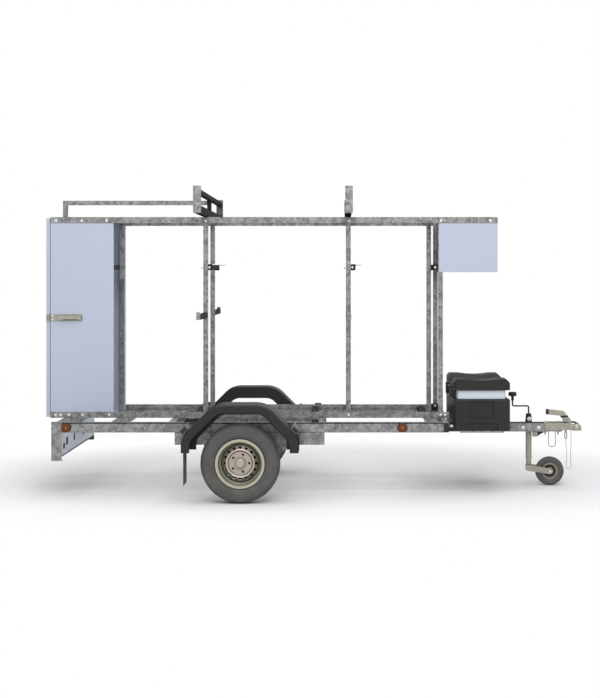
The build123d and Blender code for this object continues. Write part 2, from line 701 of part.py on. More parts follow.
SUPPORT_RISE = SUPPORT_Z - (FENDER_TOP - (FENDER_HALF_LENGTH - FENDER_FLAT_HALF))
SUPPORT_REACH = FENDER_HALF_LENGTH - SUPPORT_RISE + math.sqrt(2) * SUPPORT_SHORT / 2


def support_planes(offset):
    """Planes across the four fender supports, tilted to lie flat on the arch's slopes."""
    planes = []
    for side in SIDES.values():
        for end in (-1, 1):
            flat = Plane(origin=(WHEEL_X + end * SUPPORT_REACH, side * offset, SUPPORT_Z),
                         x_dir=(1, 0, -end), z_dir=(0, side, 0))
            planes.append(flat)
    return planes


with BuildPart() as fender_supports:
    for plane in support_planes(RAIL_HALF_SPAN):
        hollow_section(plane, SUPPORT_LONG, SUPPORT_SHORT, SUPPORT_WALL,
                       FENDER_INNER + FENDER_WIDTH - RAIL_HALF_SPAN - END_CAP_THICKNESS)
write(fender_supports.part, "fender_supports")

with BuildPart() as tube_caps:
    for plane in support_planes(FENDER_INNER + FENDER_WIDTH - END_CAP_THICKNESS):
        with BuildSketch(plane):
            RectangleRounded(SUPPORT_LONG, SUPPORT_SHORT, SUPPORT_WALL)
        extrude(amount=END_CAP_THICKNESS)
    for side in SIDES.values():
        with BuildSketch(along_y(RAIL_FRONT + FRONT_TUBE_DEPTH / 2, side * RAIL_HALF_SPAN,
                                 MEMBER_Z, side)):
            RectangleRounded(FRONT_TUBE_DEPTH, MEMBER_HEIGHT, 2 * MEMBER_WALL)
        extrude(amount=END_CAP_THICKNESS)
write(tube_caps.part, "tube_caps")

with BuildPart() as mudflaps:
    flap_x = WHEEL_X - FENDER_HALF_LENGTH + FENDER_WALL
    for side in SIDES.values():
        across = span(side, FENDER_INNER + FENDER_WALL, FENDER_INNER + FENDER_WIDTH - FENDER_EDGE)
        block((flap_x, flap_x + FLAP_STRIP), across, (FENDER_FOOT, FENDER_FOOT + FLAP_LAP))
        block((flap_x + FLAP_STRIP, flap_x + FLAP_STRIP + FLAP_THICKNESS), across,
              (FLAP_FOOT, FENDER_FOOT + FLAP_LAP))
write(mudflaps.part, "mudflaps")

# ---------------------------------------------------------------- superstructure
def angle_rail(side, rear, front, web, flange):
    """Angle section along the trailer: an upright web outside and a flange inwards."""
    inside = flange + math.copysign(ANGLE_WALL, web - flange)
    with BuildSketch(along_x(rear, 0, 0)) as section:
        with BuildLine():
            Polyline((side * BODY_HALF_WIDTH, web), (side * BODY_HALF_WIDTH, flange),
                     (side * (BODY_HALF_WIDTH - ANGLE_WIDTH), flange),
                     (side * (BODY_HALF_WIDTH - ANGLE_WIDTH), inside),
                     (side * WEB_INNER, inside),
                     (side * WEB_INNER, web), close=True)
        make_face()
    extrude(section.sketch, amount=front - rear)


with BuildPart() as top_rails:
    for side in SIDES.values():
        angle_rail(side, BODY_REAR, TOP_RAIL_FRONT, BODY_TOP - ANGLE_HEIGHT, BODY_TOP)
write(top_rails.part, "top_rails")

with BuildPart() as bottom_rails:
    for side in SIDES.values():
        angle_rail(side, BODY_REAR, BOTTOM_RAIL_FRONT, BODY_FOOT + ANGLE_HEIGHT, BODY_FOOT)
write(bottom_rails.part, "bottom_rails")

with BuildPart() as side_posts:
    for side in SIDES.values():
        for x in POST_XS + (CABINET_POST_X, DOOR_POST_X):
            hollow_section(upright(x, side * POST_Y, INSIDE_FOOT), POST, POST, POST_WALL,
                           INSIDE_TOP - INSIDE_FOOT)
write(side_posts.part, "side_posts")

with BuildPart() as centre_posts:
    hollow_section(upright(CENTRE_POST_X, 0, MEMBER_TOP), POST, POST, POST_WALL,
                   INSIDE_TOP - TOP_MEMBER - MEMBER_TOP)
    hollow_section(upright(HANGING_POST_X, 0, HANGING_POST_FOOT), POST, POST, POST_WALL,
                   INSIDE_TOP - TOP_MEMBER - HANGING_POST_FOOT)
write(centre_posts.part, "centre_posts")

with BuildPart() as top_members:
    for x in (ROOF_LEG_X, HANGING_POST_X, CENTRE_POST_X):
        hollow_section(along_y(x, -WEB_INNER + PANEL, TOP_MEMBER_Z), TOP_MEMBER, TOP_MEMBER,
                       POST_WALL, 2 * (WEB_INNER - PANEL))
    for x in RACK_XS:
        hollow_section(along_y(x, -POST_INNER, TOP_MEMBER_Z), TOP_MEMBER, TOP_MEMBER,
                       POST_WALL, 2 * POST_INNER)
write(top_members.part, "top_members")

# ---------------------------------------------------------------- load bars and side arms
def coated_bar(x, half_span, z, width, height):
    """Rubber-covered bar across the trailer, its corners rounded."""
    with BuildSketch(along_y(x, -half_span, z)) as section:
        RectangleRounded(width, height, min(width, height) / 5)
    extrude(section.sketch, amount=2 * half_span)


BAR_STEP = (POST + LOAD_BAR) / 2
POST_BAR_XS = (REAR_POST_X + BAR_STEP, MIDDLE_POST_X + BAR_STEP, FRONT_POST_X - BAR_STEP)
FLOOR_BAR_XS = (AXLE_FLOOR_BAR_X, MIDDLE_MEMBER_X - MEMBER_WIDTH, FRONT_MEMBER_X - MEMBER_WIDTH)
with BuildPart() as load_bars:
    coated_bar(HANGING_POST_X - BAR_STEP, POST_INNER, LOAD_BAR_Z, LOAD_BAR, LOAD_BAR)
    for x in POST_BAR_XS:
        coated_bar(x, POST_OUTER - PANEL, LOAD_BAR_Z, LOAD_BAR, LOAD_BAR)
    for x in FLOOR_BAR_XS:
        coated_bar(x, POST_OUTER, INSIDE_FOOT + FLOOR_BAR_HEIGHT / 2, FLOOR_BAR_WIDTH,
                   FLOOR_BAR_HEIGHT)
write(load_bars.part, "load_bars")

with BuildPart() as bar_clips:
    for side in SIDES.values():
        for x in POST_BAR_XS:
            with BuildSketch(along_y(x, side * (POST_OUTER - PANEL), LOAD_BAR_Z, side)):
                Rectangle(LOAD_BAR - 4, LOAD_BAR + 8)
            extrude(amount=PANEL)
            block((x - LOAD_BAR / 2, x + LOAD_BAR / 2), span(side, POST_INNER, POST_OUTER - PANEL),
                  (LOAD_BAR_Z - LOAD_BAR / 2 - PANEL, LOAD_BAR_Z - LOAD_BAR / 2))
write(bar_clips.part, "load_bar_clips")

with BuildPart() as side_arms:
    for side in SIDES.values():
        for x in RACK_XS:
            with BuildSketch(along_y(x, side * POST_OUTER, ARM_Z, side)):
                RectangleRounded(ARM_BAR - 8, ARM_BAR, ARM_BAR / 6)
            extrude(amount=ARM_END - ARM_PLATE_THICKNESS - POST_OUTER)
write(side_arms.part, "side_arms")

with BuildPart() as arm_plates:
    for side in SIDES.values():
        for x in RACK_XS:
            with BuildSketch(along_y(x, side * (ARM_END - ARM_PLATE_THICKNESS), ARM_Z + 8, side)):
                Rectangle(ARM_PLATE_WIDTH, ARM_PLATE_HEIGHT)
            extrude(amount=ARM_PLATE_THICKNESS)
write(arm_plates.part, "side_arm_plates")

# ---------------------------------------------------------------- roof racks
with BuildPart() as rack_lower_bars:
    for x in RACK_XS:
        with BuildSketch(along_y(x, -RACK_HALF_SPAN + RACK_WALL, BODY_TOP + RACK_LOWER_HEIGHT / 2)):
            RectangleRounded(RACK_BAR_WIDTH, RACK_LOWER_HEIGHT, RACK_BAR_WIDTH / 6)
        extrude(amount=2 * (RACK_HALF_SPAN - RACK_WALL))
        with BuildSketch(Plane.XY.offset(BODY_TOP + RACK_LOWER_HEIGHT)):
            with Locations((x, 0)):
                Rectangle(RACK_STRUT, RACK_STRUT)
        extrude(amount=RACK_UPPER_TOP - RACK_UPPER_HEIGHT - BODY_TOP - RACK_LOWER_HEIGHT)
write(rack_lower_bars.part, "rack_lower_bars")

with BuildPart() as rack_upper_bars:
    for x in RACK_XS:
        with BuildSketch(along_y(x, -RACK_HALF_SPAN + RACK_WALL,
                                 RACK_UPPER_TOP - RACK_UPPER_HEIGHT / 2)):
            RectangleRounded(RACK_BAR_WIDTH, RACK_UPPER_HEIGHT, RACK_BAR_WIDTH / 6)
        extrude(amount=2 * (RACK_HALF_SPAN - RACK_WALL))
write(rack_upper_bars.part, "rack_upper_bars")

with BuildPart() as rack_ends:
    for side in SIDES.values():
        for x in RACK_XS:
            with BuildSketch(Plane.XY.offset(BODY_TOP + RACK_FOOT_GAP)):
                with Locations((x, side * (RACK_HALF_SPAN - RACK_END_DEPTH / 2))):
                    Rectangle(RACK_END_WIDTH, RACK_END_DEPTH)
                with Locations((x, side * (RACK_HALF_SPAN - RACK_WALL - RACK_END_DEPTH / 2))):
                    Rectangle(RACK_END_WIDTH - 2 * RACK_WALL, RACK_END_DEPTH, mode=Mode.SUBTRACT)
            extrude(amount=RACK_TOP - BODY_TOP - RACK_FOOT_GAP)
write(rack_ends.part, "rack_ends")

with BuildPart() as roof_bar:
    roof_bar_z = ROOF_BAR_TOP - ROOF_BAR / 2
    bar_front = REAR_POST_X - RACK_STRUT / 2
    hollow_section(along_x(ROOF_LEG_X - ROOF_BAR / 2, 0, roof_bar_z), ROOF_BAR, ROOF_BAR,
                   ROOF_BAR_WALL, bar_front - ROOF_LEG_X + ROOF_BAR / 2)
    hollow_section(upright(ROOF_LEG_X, 0, INSIDE_TOP), ROOF_BAR, ROOF_BAR, ROOF_BAR_WALL,
                   ROOF_BAR_TOP - ROOF_BAR - INSIDE_TOP)
write(roof_bar.part, "roof_bar")

# ---------------------------------------------------------------- cabinet
with BuildPart() as cabinet_sides:
    hem_inner = WEB_INNER - CABINET_HEM_DEPTH
    for side in SIDES.values():
        with BuildSketch(Plane.XY.offset(INSIDE_FOOT)):
            with BuildLine():
                Polyline((BODY_REAR, side * WEB_INNER), (CABINET_FRONT, side * WEB_INNER),
                         (CABINET_FRONT, side * hem_inner),
                         (CABINET_FRONT - CABINET_HEM, side * hem_inner),
                         (CABINET_FRONT - CABINET_HEM, side * POST_OUTER),
                         (BODY_REAR, side * POST_OUTER), close=True)
            make_face()
        extrude(amount=INSIDE_TOP - INSIDE_FOOT)
write(cabinet_sides.part, "cabinet_sides")

with BuildPart() as cabinet_plates:
    plates_front = CABINET_FRONT - CABINET_HEM - POST
    block((BODY_REAR + POST, plates_front), (-POST_OUTER, POST_OUTER),
          (INSIDE_FOOT, INSIDE_FOOT + PANEL))
    block((CABINET_ROOF_REAR, plates_front), (-POST_OUTER, POST_OUTER),
          (INSIDE_TOP - PANEL, INSIDE_TOP))
write(cabinet_plates.part, "cabinet_plates")

with BuildPart() as rear_door:
    door_plane = along_x(DOOR_REAR, 0, (DOOR_FOOT + DOOR_TOP) / 2)
    door_height = DOOR_TOP - DOOR_FOOT
    with BuildSketch(door_plane):
        Rectangle(2 * DOOR_HALF_WIDTH, door_height)
    extrude(amount=DOOR_THICKNESS)
    with BuildSketch(door_plane.offset(DOOR_SKIN)):
        Rectangle(2 * (DOOR_HALF_WIDTH - DOOR_SKIN), door_height - 2 * DOOR_SKIN)
    extrude(amount=DOOR_THICKNESS - 2 * DOOR_SKIN, mode=Mode.SUBTRACT)
    with BuildSketch(door_plane.offset(DOOR_THICKNESS - DOOR_SKIN)):
        with GridLocations(0, (door_height - DOOR_RIM) / 2, 1, 2):
            Rectangle(2 * (DOOR_HALF_WIDTH - DOOR_RIM), (door_height - 3 * DOOR_RIM) / 2)
    extrude(amount=DOOR_SKIN, mode=Mode.SUBTRACT)
    with BuildSketch(door_plane.offset(DOOR_SKIN)):
        Rectangle(2 * (DOOR_HALF_WIDTH - DOOR_SKIN), DOOR_SKIN)
    extrude(amount=DOOR_THICKNESS - 2 * DOOR_SKIN)
write(rear_door.part, "rear_door")

KNUCKLE = HINGE_LENGTH / 3
with BuildPart() as door_fittings:
    for z in HINGE_ZS:
        with BuildSketch(Plane.XY.offset(z - KNUCKLE / 2 + SEAT)):
            with Locations((HINGE_X, (DOOR_HALF_WIDTH + HINGE_Y) / 2)):
                Rectangle(2 * HINGE_RADIUS - 4, HINGE_Y - DOOR_HALF_WIDTH)
            with Locations((HINGE_X, HINGE_Y)):
                Circle(HINGE_RADIUS)
                Circle(HINGE_PIN + RUNNING, mode=Mode.SUBTRACT)
        extrude(amount=KNUCKLE - 2 * SEAT)
    with BuildSketch(along_y((DOOR_REAR + BODY_REAR - SWING) / 2, -DOOR_HALF_WIDTH, LATCH_Z, RIGHT)):
        Rectangle(DOOR_THICKNESS - SWING, LATCH_HEIGHT)
        Rectangle(KEEPER_SLIT, LATCH_HEIGHT - 20, mode=Mode.SUBTRACT)
    extrude(amount=KEEPER_DEPTH)
write(door_fittings.part, "door_fittings")

with BuildPart() as cabinet_hinges:
    for z in HINGE_ZS:
        leaf_rear = HINGE_X + HINGE_RADIUS + SWING + 8
        leaf_front = leaf_rear + 44
        block((leaf_rear, leaf_front), (BODY_HALF_WIDTH, BODY_HALF_WIDTH + HINGE_LEAF),
              (z - HINGE_LENGTH / 2, z + HINGE_LENGTH / 2))
        block((BODY_REAR, leaf_front), (WEB_INNER, BODY_HALF_WIDTH),
              (z - HINGE_LENGTH / 2, z + HINGE_LENGTH / 2))
        for end in (-1, 1):
            with BuildSketch(Plane.XY.offset(z + end * KNUCKLE - KNUCKLE / 2)):
                with Locations((HINGE_X, HINGE_Y)):
                    Circle(HINGE_RADIUS)
                with Locations(((HINGE_X + leaf_rear) / 2, BODY_HALF_WIDTH + HINGE_LEAF / 2)):
                    Rectangle(leaf_rear - HINGE_X, HINGE_LEAF)
            extrude(amount=KNUCKLE)
        with BuildSketch(Plane.XY.offset(z - KNUCKLE)):
            with Locations((HINGE_X, HINGE_Y)):
                Circle(HINGE_PIN)
        extrude(amount=2 * KNUCKLE)
write(cabinet_hinges.part, "cabinet_hinges")

with BuildPart() as latch:
    plate_rear = BODY_REAR + 2
    with BuildSketch(along_y((plate_rear + LATCH_FRONT) / 2, -WEB_INNER, LATCH_Z, RIGHT)):
        Rectangle(LATCH_FRONT - plate_rear, LATCH_HEIGHT)
    extrude(amount=BODY_HALF_WIDTH - WEB_INNER + 2)
    lever_x = LATCH_FRONT - 8 - LEVER_LENGTH / 2
    with BuildSketch(along_y(lever_x, -BODY_HALF_WIDTH - 2, LATCH_Z, RIGHT)):
        RectangleRounded(LEVER_LENGTH, LEVER_HEIGHT, LEVER_HEIGHT / 3)
    extrude(amount=14)
write(latch.part, "door_latch")

# ---------------------------------------------------------------- hood
with BuildPart() as hood_sides:
    for side in SIDES.values():
        block((HOOD_REAR, TOP_RAIL_FRONT - PANEL), span(side, POST_OUTER, WEB_INNER),
              (HOOD_FLOOR, INSIDE_TOP))
write(hood_sides.part, "hood_sides")

with BuildPart() as hood_shell:
    with BuildSketch(side_view(WEB_INNER)):
        with BuildLine():
            front, rear = TOP_RAIL_FRONT, FRONT_POST_X + POST / 2
            Polyline((front, INSIDE_TOP), (front, HOOD_FLOOR - PANEL), (rear, HOOD_FLOOR - PANEL),
                     (rear, HOOD_FLOOR), (front - PANEL, HOOD_FLOOR), (front - PANEL, INSIDE_TOP),
                     close=True)
        make_face()
    extrude(amount=2 * WEB_INNER)
    block((rear, front - PANEL), (-POST_OUTER, POST_OUTER), (INSIDE_TOP - PANEL, INSIDE_TOP))
write(hood_shell.part, "hood_shell")

# ---------------------------------------------------------------- light board
with BuildPart() as board_legs:
    for side in SIDES.values():
        with BuildSketch(Plane.XY.offset(LEG_FOOT)):
            with BuildLine():
                outer, inner = RAIL_HALF_SPAN + LEG_PLATE, RAIL_HALF_SPAN
                Polyline((BOARD_REAR, side * outer), (BOARD_REAR + BOARD_DEPTH, side * outer),
                         (BOARD_REAR + BOARD_DEPTH, side * inner), (BOARD_REAR, side * inner),
                         close=True)
            make_face()
        extrude(amount=RAIL_TOP - LEG_FOOT)
        block((BOARD_REAR, BOARD_REAR + BOARD_DEPTH), span(side, inner - 30, inner),
              (LEG_FOOT, LEG_FOOT + LEG_PLATE))
write(board_legs.part, "light_board_legs")

BOARD_FACE = BOARD_REAR + BOARD_DEPTH
with BuildPart() as light_board:
    with BuildSketch(side_view(RAIL_HALF_SPAN)):
        with BuildLine():
            back = BOARD_FACE - BOARD_SHEET
            lip = BOARD_FACE - BOARD_LIP
            Polyline((lip, BOARD_FOOT), (BOARD_FACE, BOARD_FOOT), (BOARD_FACE, RAIL_FOOT),
                     (lip, RAIL_FOOT), (lip, RAIL_FOOT - BOARD_SHEET),
                     (back, RAIL_FOOT - BOARD_SHEET), (back, BOARD_FOOT + BOARD_SHEET),
                     (lip, BOARD_FOOT + BOARD_SHEET), close=True)
        make_face()
    extrude(amount=2 * RAIL_HALF_SPAN)
    with BuildSketch(along_x(BOARD_FACE, 0, SLOT_Z)):
        for side in SIDES.values():
            with Locations(*[(side * y, 0) for y in SLOT_YS]):
                SlotOverall(SLOT_LENGTH, SLOT_WIDTH, rotation=90)
    extrude(amount=-2 * BOARD_SHEET, mode=Mode.SUBTRACT)
write(light_board.part, "light_board")

with BuildPart() as tail_lamps:
    for side in SIDES.values():
        with BuildSketch(along_x(back, side * LAMP_Y, LAMP_Z)):
            RectangleRounded(LAMP_WIDTH, LAMP_HEIGHT, LAMP_HEIGHT / 6)
        extrude(amount=-LAMP_DEPTH)
write(tail_lamps.part, "tail_lamps")

with BuildPart() as side_markers:
    for side in SIDES.values():
        for x in MARKER_XS:
            with BuildSketch(along_y(x, side * (RAIL_HALF_SPAN + LEG_PLATE), MARKER_Z, side)):
                Circle(MARKER_RADIUS)
            extrude(amount=MARKER_DEPTH, taper=18)
            with BuildSketch(along_y(x, side * RAIL_HALF_SPAN, MARKER_Z, side)):
                Circle(MARKER_RADIUS - 4)
            extrude(amount=LEG_PLATE)
write(side_markers.part, "side_markers")

# ---------------------------------------------------------------- toolbox
with BuildPart() as toolbox_body:
    with BuildSketch(Plane.XY.offset(BOX_FOOT)):
        with Locations((BOX_X, 0)):
            RectangleRounded(BOX_LENGTH, 2 * BOX_HALF_WIDTH, BOX_CORNER)
    extrude(amount=BOX_RIM - BOX_FOOT)
    fillet(toolbox_body.faces().sort_by(Axis.Z)[-1].edges(), BOX_RIM_EDGE)
    with BuildSketch(Plane.XY.offset(BOX_RIM - BOX_WALL)):
        with Locations((BOX_X, 0)):
            RectangleRounded(BOX_LENGTH - 2 * BOX_WALL, 2 * (BOX_HALF_WIDTH - BOX_WALL),
                             BOX_CORNER - BOX_WALL)
    extrude(amount=-(BOX_RIM - BOX_FOOT - 2 * BOX_WALL), mode=Mode.SUBTRACT)
    with BuildSketch(Plane.XY.offset(BOX_RIM)):
        with Locations((BOX_X, 0)):
            RectangleRounded(BOX_LENGTH - 2 * (COLLAR_INSET + BOX_WALL),
                             2 * (BOX_HALF_WIDTH - COLLAR_INSET - BOX_WALL), BOX_CORNER - BOX_WALL)
    extrude(amount=-2 * BOX_WALL, mode=Mode.SUBTRACT)
    for side in SIDES.values():
        for width, foot, top in ((UPPER_RECESS, UPPER_RECESS_FOOT, UPPER_RECESS_TOP),
                                 (LOWER_RECESS, BOX_FOOT, LOWER_RECESS_TOP)):
            block((BOX_X - width / 2 - BOX_WALL, BOX_X + width / 2 + BOX_WALL),
                  span(side, BOX_HALF_WIDTH - RECESS_DEPTH - BOX_WALL, BOX_HALF_WIDTH - BOX_WALL),
                  (max(foot - BOX_WALL, BOX_FOOT), top + BOX_WALL))
            block((BOX_X - width / 2, BOX_X + width / 2),
                  span(side, BOX_HALF_WIDTH - RECESS_DEPTH, BOX_HALF_WIDTH + 1),
                  (foot, top), mode=Mode.SUBTRACT)
    channel_half = DRAWBAR_SIZE / 2 + SWING
    channel_top = DRAWBAR_TOP + 2
    block((BOX_REAR + BOX_WALL, BOX_FRONT - BOX_WALL), (-channel_half - BOX_WALL,
                                                       channel_half + BOX_WALL),
          (BOX_FOOT, channel_top + BOX_WALL))
    block((BOX_REAR - 1, BOX_FRONT + 1), (-channel_half, channel_half),
          (BOX_FOOT - 1, channel_top), mode=Mode.SUBTRACT)
write(toolbox_body.part, "toolbox_body")

with BuildPart() as toolbox_collar:
    with BuildSketch(Plane.XY.offset(BOX_RIM)):
        with Locations((BOX_X, 0)):
            RectangleRounded(BOX_LENGTH - 2 * COLLAR_INSET, 2 * (BOX_HALF_WIDTH - COLLAR_INSET),
                             BOX_CORNER)
            RectangleRounded(BOX_LENGTH - 2 * COLLAR_INSET - 2 * BOX_WALL,
                             2 * (BOX_HALF_WIDTH - COLLAR_INSET - BOX_WALL), BOX_CORNER - BOX_WALL,
                             mode=Mode.SUBTRACT)
    extrude(amount=COLLAR_HEIGHT)
    for y in (-BOX_HALF_WIDTH / 2, BOX_HALF_WIDTH / 2):
        block((LID_PIN_X - LID_KNUCKLE, BOX_REAR + COLLAR_INSET + BOX_WALL / 2), (y - 30, y - 12),
              (BOX_RIM, LID_FOOT - LID_GAP))
        block((LID_PIN_X - LID_KNUCKLE, LID_PIN_X + LID_KNUCKLE), (y - 30, y - 12),
              (LID_FOOT - LID_GAP, LID_PIN_Z))
        with BuildSketch(along_y(LID_PIN_X, y - 30, LID_PIN_Z, LEFT)):
            Circle(LID_KNUCKLE)
        extrude(amount=18)
        with BuildSketch(along_y(LID_PIN_X, y - 30, LID_PIN_Z, LEFT)):
            Circle(LID_PIN_RADIUS)
        extrude(amount=60)
write(toolbox_collar.part, "toolbox_collar")

with BuildPart() as toolbox_lid:
    with BuildSketch(side_view(BOX_HALF_WIDTH)):
        with BuildLine():
            shoulder_rear, shoulder_front = BOX_REAR + LID_SHOULDER, BOX_FRONT - LID_SHOULDER
            Polyline((shoulder_rear, LID_TOP), (BOX_REAR + LID_REAR_BEVEL, LID_TOP),
                     (BOX_REAR, LID_TOP - LID_REAR_BEVEL), (BOX_REAR, LID_FOOT),
                     (BOX_FRONT, LID_FOOT), (BOX_FRONT, LID_TOP - LID_BEVEL),
                     (BOX_FRONT - LID_BEVEL, LID_TOP), (shoulder_front, LID_TOP))
            ThreePointArc((shoulder_front, LID_TOP), (BOX_X, LID_TOP - LID_DIP),
                          (shoulder_rear, LID_TOP))
        make_face()
    extrude(amount=2 * BOX_HALF_WIDTH)
    fillet(toolbox_lid.edges().filter_by(Axis.Z), BOX_CORNER)
    with BuildSketch(along_x(BOX_FRONT + 1, 0, LID_TOP)):
        with BuildLine():
            channel_top = LID_CHANNEL_HALF + LID_CHANNEL_SLOPE
            Polyline((-LID_CHANNEL_HALF, -LID_CHANNEL_DEPTH), (LID_CHANNEL_HALF, -LID_CHANNEL_DEPTH),
                     (channel_top, 0), (channel_top, 1), (-channel_top, 1), (-channel_top, 0),
                     close=True)
        make_face()
    extrude(amount=-BOX_LENGTH - 2, mode=Mode.SUBTRACT)
    end_roof = LID_TOP - LID_DIP - BOX_WALL
    middle_roof = LID_TOP - LID_CHANNEL_DEPTH - BOX_WALL
    rear, front = BOX_REAR + BOX_WALL, BOX_FRONT - BOX_WALL
    inner_half = BOX_HALF_WIDTH - BOX_WALL
    block((rear, front), (-inner_half, inner_half), (LID_FOOT, middle_roof), mode=Mode.SUBTRACT)
    for side in SIDES.values():
        with BuildSketch(side_view(side * inner_half)):
            with BuildLine():
                Polyline((rear, middle_roof - 1), (front, middle_roof - 1),
                         (front, LID_TOP - LID_BEVEL - BOX_WALL), (front - LID_BEVEL, end_roof),
                         (rear + LID_REAR_BEVEL, end_roof),
                         (rear, LID_TOP - LID_REAR_BEVEL - BOX_WALL), close=True)
            make_face()
        extrude(amount=side * (inner_half - channel_top - BOX_WALL), mode=Mode.SUBTRACT)
    for y in (-BOX_HALF_WIDTH / 2, BOX_HALF_WIDTH / 2):
        with BuildSketch(side_view(y - 12 + SEAT)):
            with Locations((LID_PIN_X, LID_PIN_Z)):
                Circle(LID_KNUCKLE)
            with Locations(((BOX_REAR + LID_PIN_X) / 2 + 1, LID_PIN_Z)):
                Rectangle(BOX_REAR - LID_PIN_X + 2, 2 * LID_KNUCKLE)
            with Locations((LID_PIN_X, LID_PIN_Z)):
                Circle(LID_PIN_RADIUS + RUNNING, mode=Mode.SUBTRACT)
        extrude(amount=-30)
write(toolbox_lid.part, "toolbox_lid")

with BuildPart() as toolbox_bracket:
    for side in SIDES.values():
        for x in (BOX_X - BOX_ARM_PITCH / 2, BOX_X + BOX_ARM_PITCH / 2):
            block((x - BOX_ARM_WIDTH / 2, x + BOX_ARM_WIDTH / 2),
                  span(side, DRAWBAR_SIZE / 2, BOX_HALF_WIDTH - BOX_STRIP_WIDTH),
                  (BOX_FOOT - BOX_STRIP, BOX_FOOT))
        block((BOX_X - BOX_STRIP_LENGTH / 2, BOX_X + BOX_STRIP_LENGTH / 2),
              span(side, BOX_HALF_WIDTH - BOX_STRIP_WIDTH, BOX_HALF_WIDTH),
              (BOX_FOOT - BOX_STRIP, BOX_FOOT))
write(toolbox_bracket.part, "toolbox_bracket")

# ---------------------------------------------------------------- jockey wheel
with BuildPart() as jockey_tube:
    with BuildSketch(Plane.XY.offset(OUTER_TUBE_FOOT)):
        with Locations((JOCKEY_X, JOCKEY_Y)):
            Circle(TUBE_RADIUS)
    extrude(amount=OUTER_TUBE_TOP - OUTER_TUBE_FOOT)
    clamp_reach = CLAMP_PITCH / 2 + CLAMP_END
    block((JOCKEY_X - clamp_reach, JOCKEY_X + clamp_reach),
          (DRAWBAR_SIZE / 2, DRAWBAR_SIZE / 2 + CLAMP_PLATE),
          (DRAWBAR_FOOT + CLAMP_MARGIN, DRAWBAR_TOP - CLAMP_MARGIN))
    with BuildSketch(Plane.XY.offset(DRAWBAR_FOOT + CLAMP_MARGIN)):
        with Locations((JOCKEY_X, JOCKEY_Y)):
            Circle(TUBE_RADIUS + CLAMP_RING)
        with Locations((JOCKEY_X, DRAWBAR_SIZE / 2 - CLAMP_RING)):
            Rectangle(3 * TUBE_RADIUS, 2 * CLAMP_RING, mode=Mode.SUBTRACT)
    extrude(amount=DRAWBAR_SIZE - 2 * CLAMP_MARGIN)
    with BuildSketch(Plane.XY.offset(OUTER_TUBE_FOOT)):
        with Locations((JOCKEY_X, JOCKEY_Y)):
            Circle(INNER_TUBE_RADIUS + SEAT)
    extrude(amount=OUTER_TUBE_TOP - OUTER_TUBE_FOOT, mode=Mode.SUBTRACT)
write(jockey_tube.part, "jockey_outer_tube")

with BuildPart() as jockey_crank:
    with BuildSketch(Plane.XY.offset(OUTER_TUBE_TOP)):
        with Locations((JOCKEY_X, JOCKEY_Y)):
            Circle(CRANK_HEAD_RADIUS)
    extrude(amount=CRANK_HEAD_TOP - OUTER_TUBE_TOP, taper=6)
    with BuildLine() as crank_line:
        crank_end = JOCKEY_X - CRANK_REACH
        FilletPolyline((JOCKEY_X, JOCKEY_Y, CRANK_HEAD_TOP - 4), (JOCKEY_X, JOCKEY_Y, CRANK_ARM_Z),
                       (crank_end, JOCKEY_Y, CRANK_ARM_Z), (crank_end, JOCKEY_Y, CRANK_KNOB_FOOT + 4),
                       radius=2 * CRANK_SHAFT_RADIUS)
    with BuildSketch(Plane.XY.offset(CRANK_HEAD_TOP - 4)):
        with Locations((JOCKEY_X, JOCKEY_Y)):
            Circle(CRANK_SHAFT_RADIUS)
    sweep(path=crank_line.line)
    with BuildSketch(Plane.XY.offset(CRANK_KNOB_FOOT)):
        with Locations((crank_end, JOCKEY_Y)):
            Circle(CRANK_KNOB_RADIUS)
    extrude(amount=CRANK_KNOB_TOP - CRANK_KNOB_FOOT - CRANK_CAP_HEIGHT / 2)
    with BuildSketch(Plane.XY.offset(CRANK_KNOB_TOP - CRANK_CAP_HEIGHT)):
        with Locations((crank_end, JOCKEY_Y)):
            Circle(CRANK_CAP_RADIUS)
    extrude(amount=CRANK_CAP_HEIGHT)
    cap_faces = jockey_crank.faces().filter_by(Axis.Z).sort_by(Axis.Z)
    fillet(cap_faces[-1].edges(), CRANK_CAP_EDGE)
write(jockey_crank.part, "jockey_crank")

with BuildPart() as jockey_inner:
    with BuildSketch(Plane.XY.offset(FORK_TOP + SEAT)):
        with Locations((JOCKEY_X, JOCKEY_Y)):
            Circle(INNER_TUBE_RADIUS)
            Circle(INNER_TUBE_RADIUS - TUBE_WALL, mode=Mode.SUBTRACT)
    extrude(amount=OUTER_TUBE_TOP - FORK_TOP - 60)
write(jockey_inner.part, "jockey_inner_tube")

with BuildPart() as jockey_fork:
    fork_half = JOCKEY_WHEEL_WIDTH / 2 + SWING + FORK_PLATE
    with BuildSketch(side_view(JOCKEY_Y + fork_half)):
        with Locations((JOCKEY_WHEEL_X, JOCKEY_WHEEL_Z)):
            Circle((FORK_TOP - FORK_FOOT) / 2)
        with Locations((JOCKEY_X, (FORK_TOP + FORK_FOOT) / 2)):
            Rectangle(2 * INNER_TUBE_RADIUS, FORK_TOP - FORK_FOOT)
        make_hull()
    extrude(amount=2 * fork_half)
    wheel_gap = JOCKEY_WHEEL_WIDTH / 2 + SWING
    block((JOCKEY_X + INNER_TUBE_RADIUS + 4, JOCKEY_WHEEL_X + JOCKEY_WHEEL_DIAMETER / 2),
          (JOCKEY_Y - wheel_gap, JOCKEY_Y + wheel_gap), (0, FORK_TOP + 1), mode=Mode.SUBTRACT)
    with BuildSketch(along_y(JOCKEY_WHEEL_X, JOCKEY_Y - fork_half, JOCKEY_WHEEL_Z, LEFT)):
        Circle(JOCKEY_AXLE_RADIUS)
    extrude(amount=2 * fork_half)
    with BuildSketch(Plane.XY.offset(FORK_TOP)):
        with Locations((JOCKEY_X, JOCKEY_Y)):
            Circle(INNER_TUBE_RADIUS - TUBE_WALL - RUNNING)
    extrude(amount=FORK_SPIGOT)
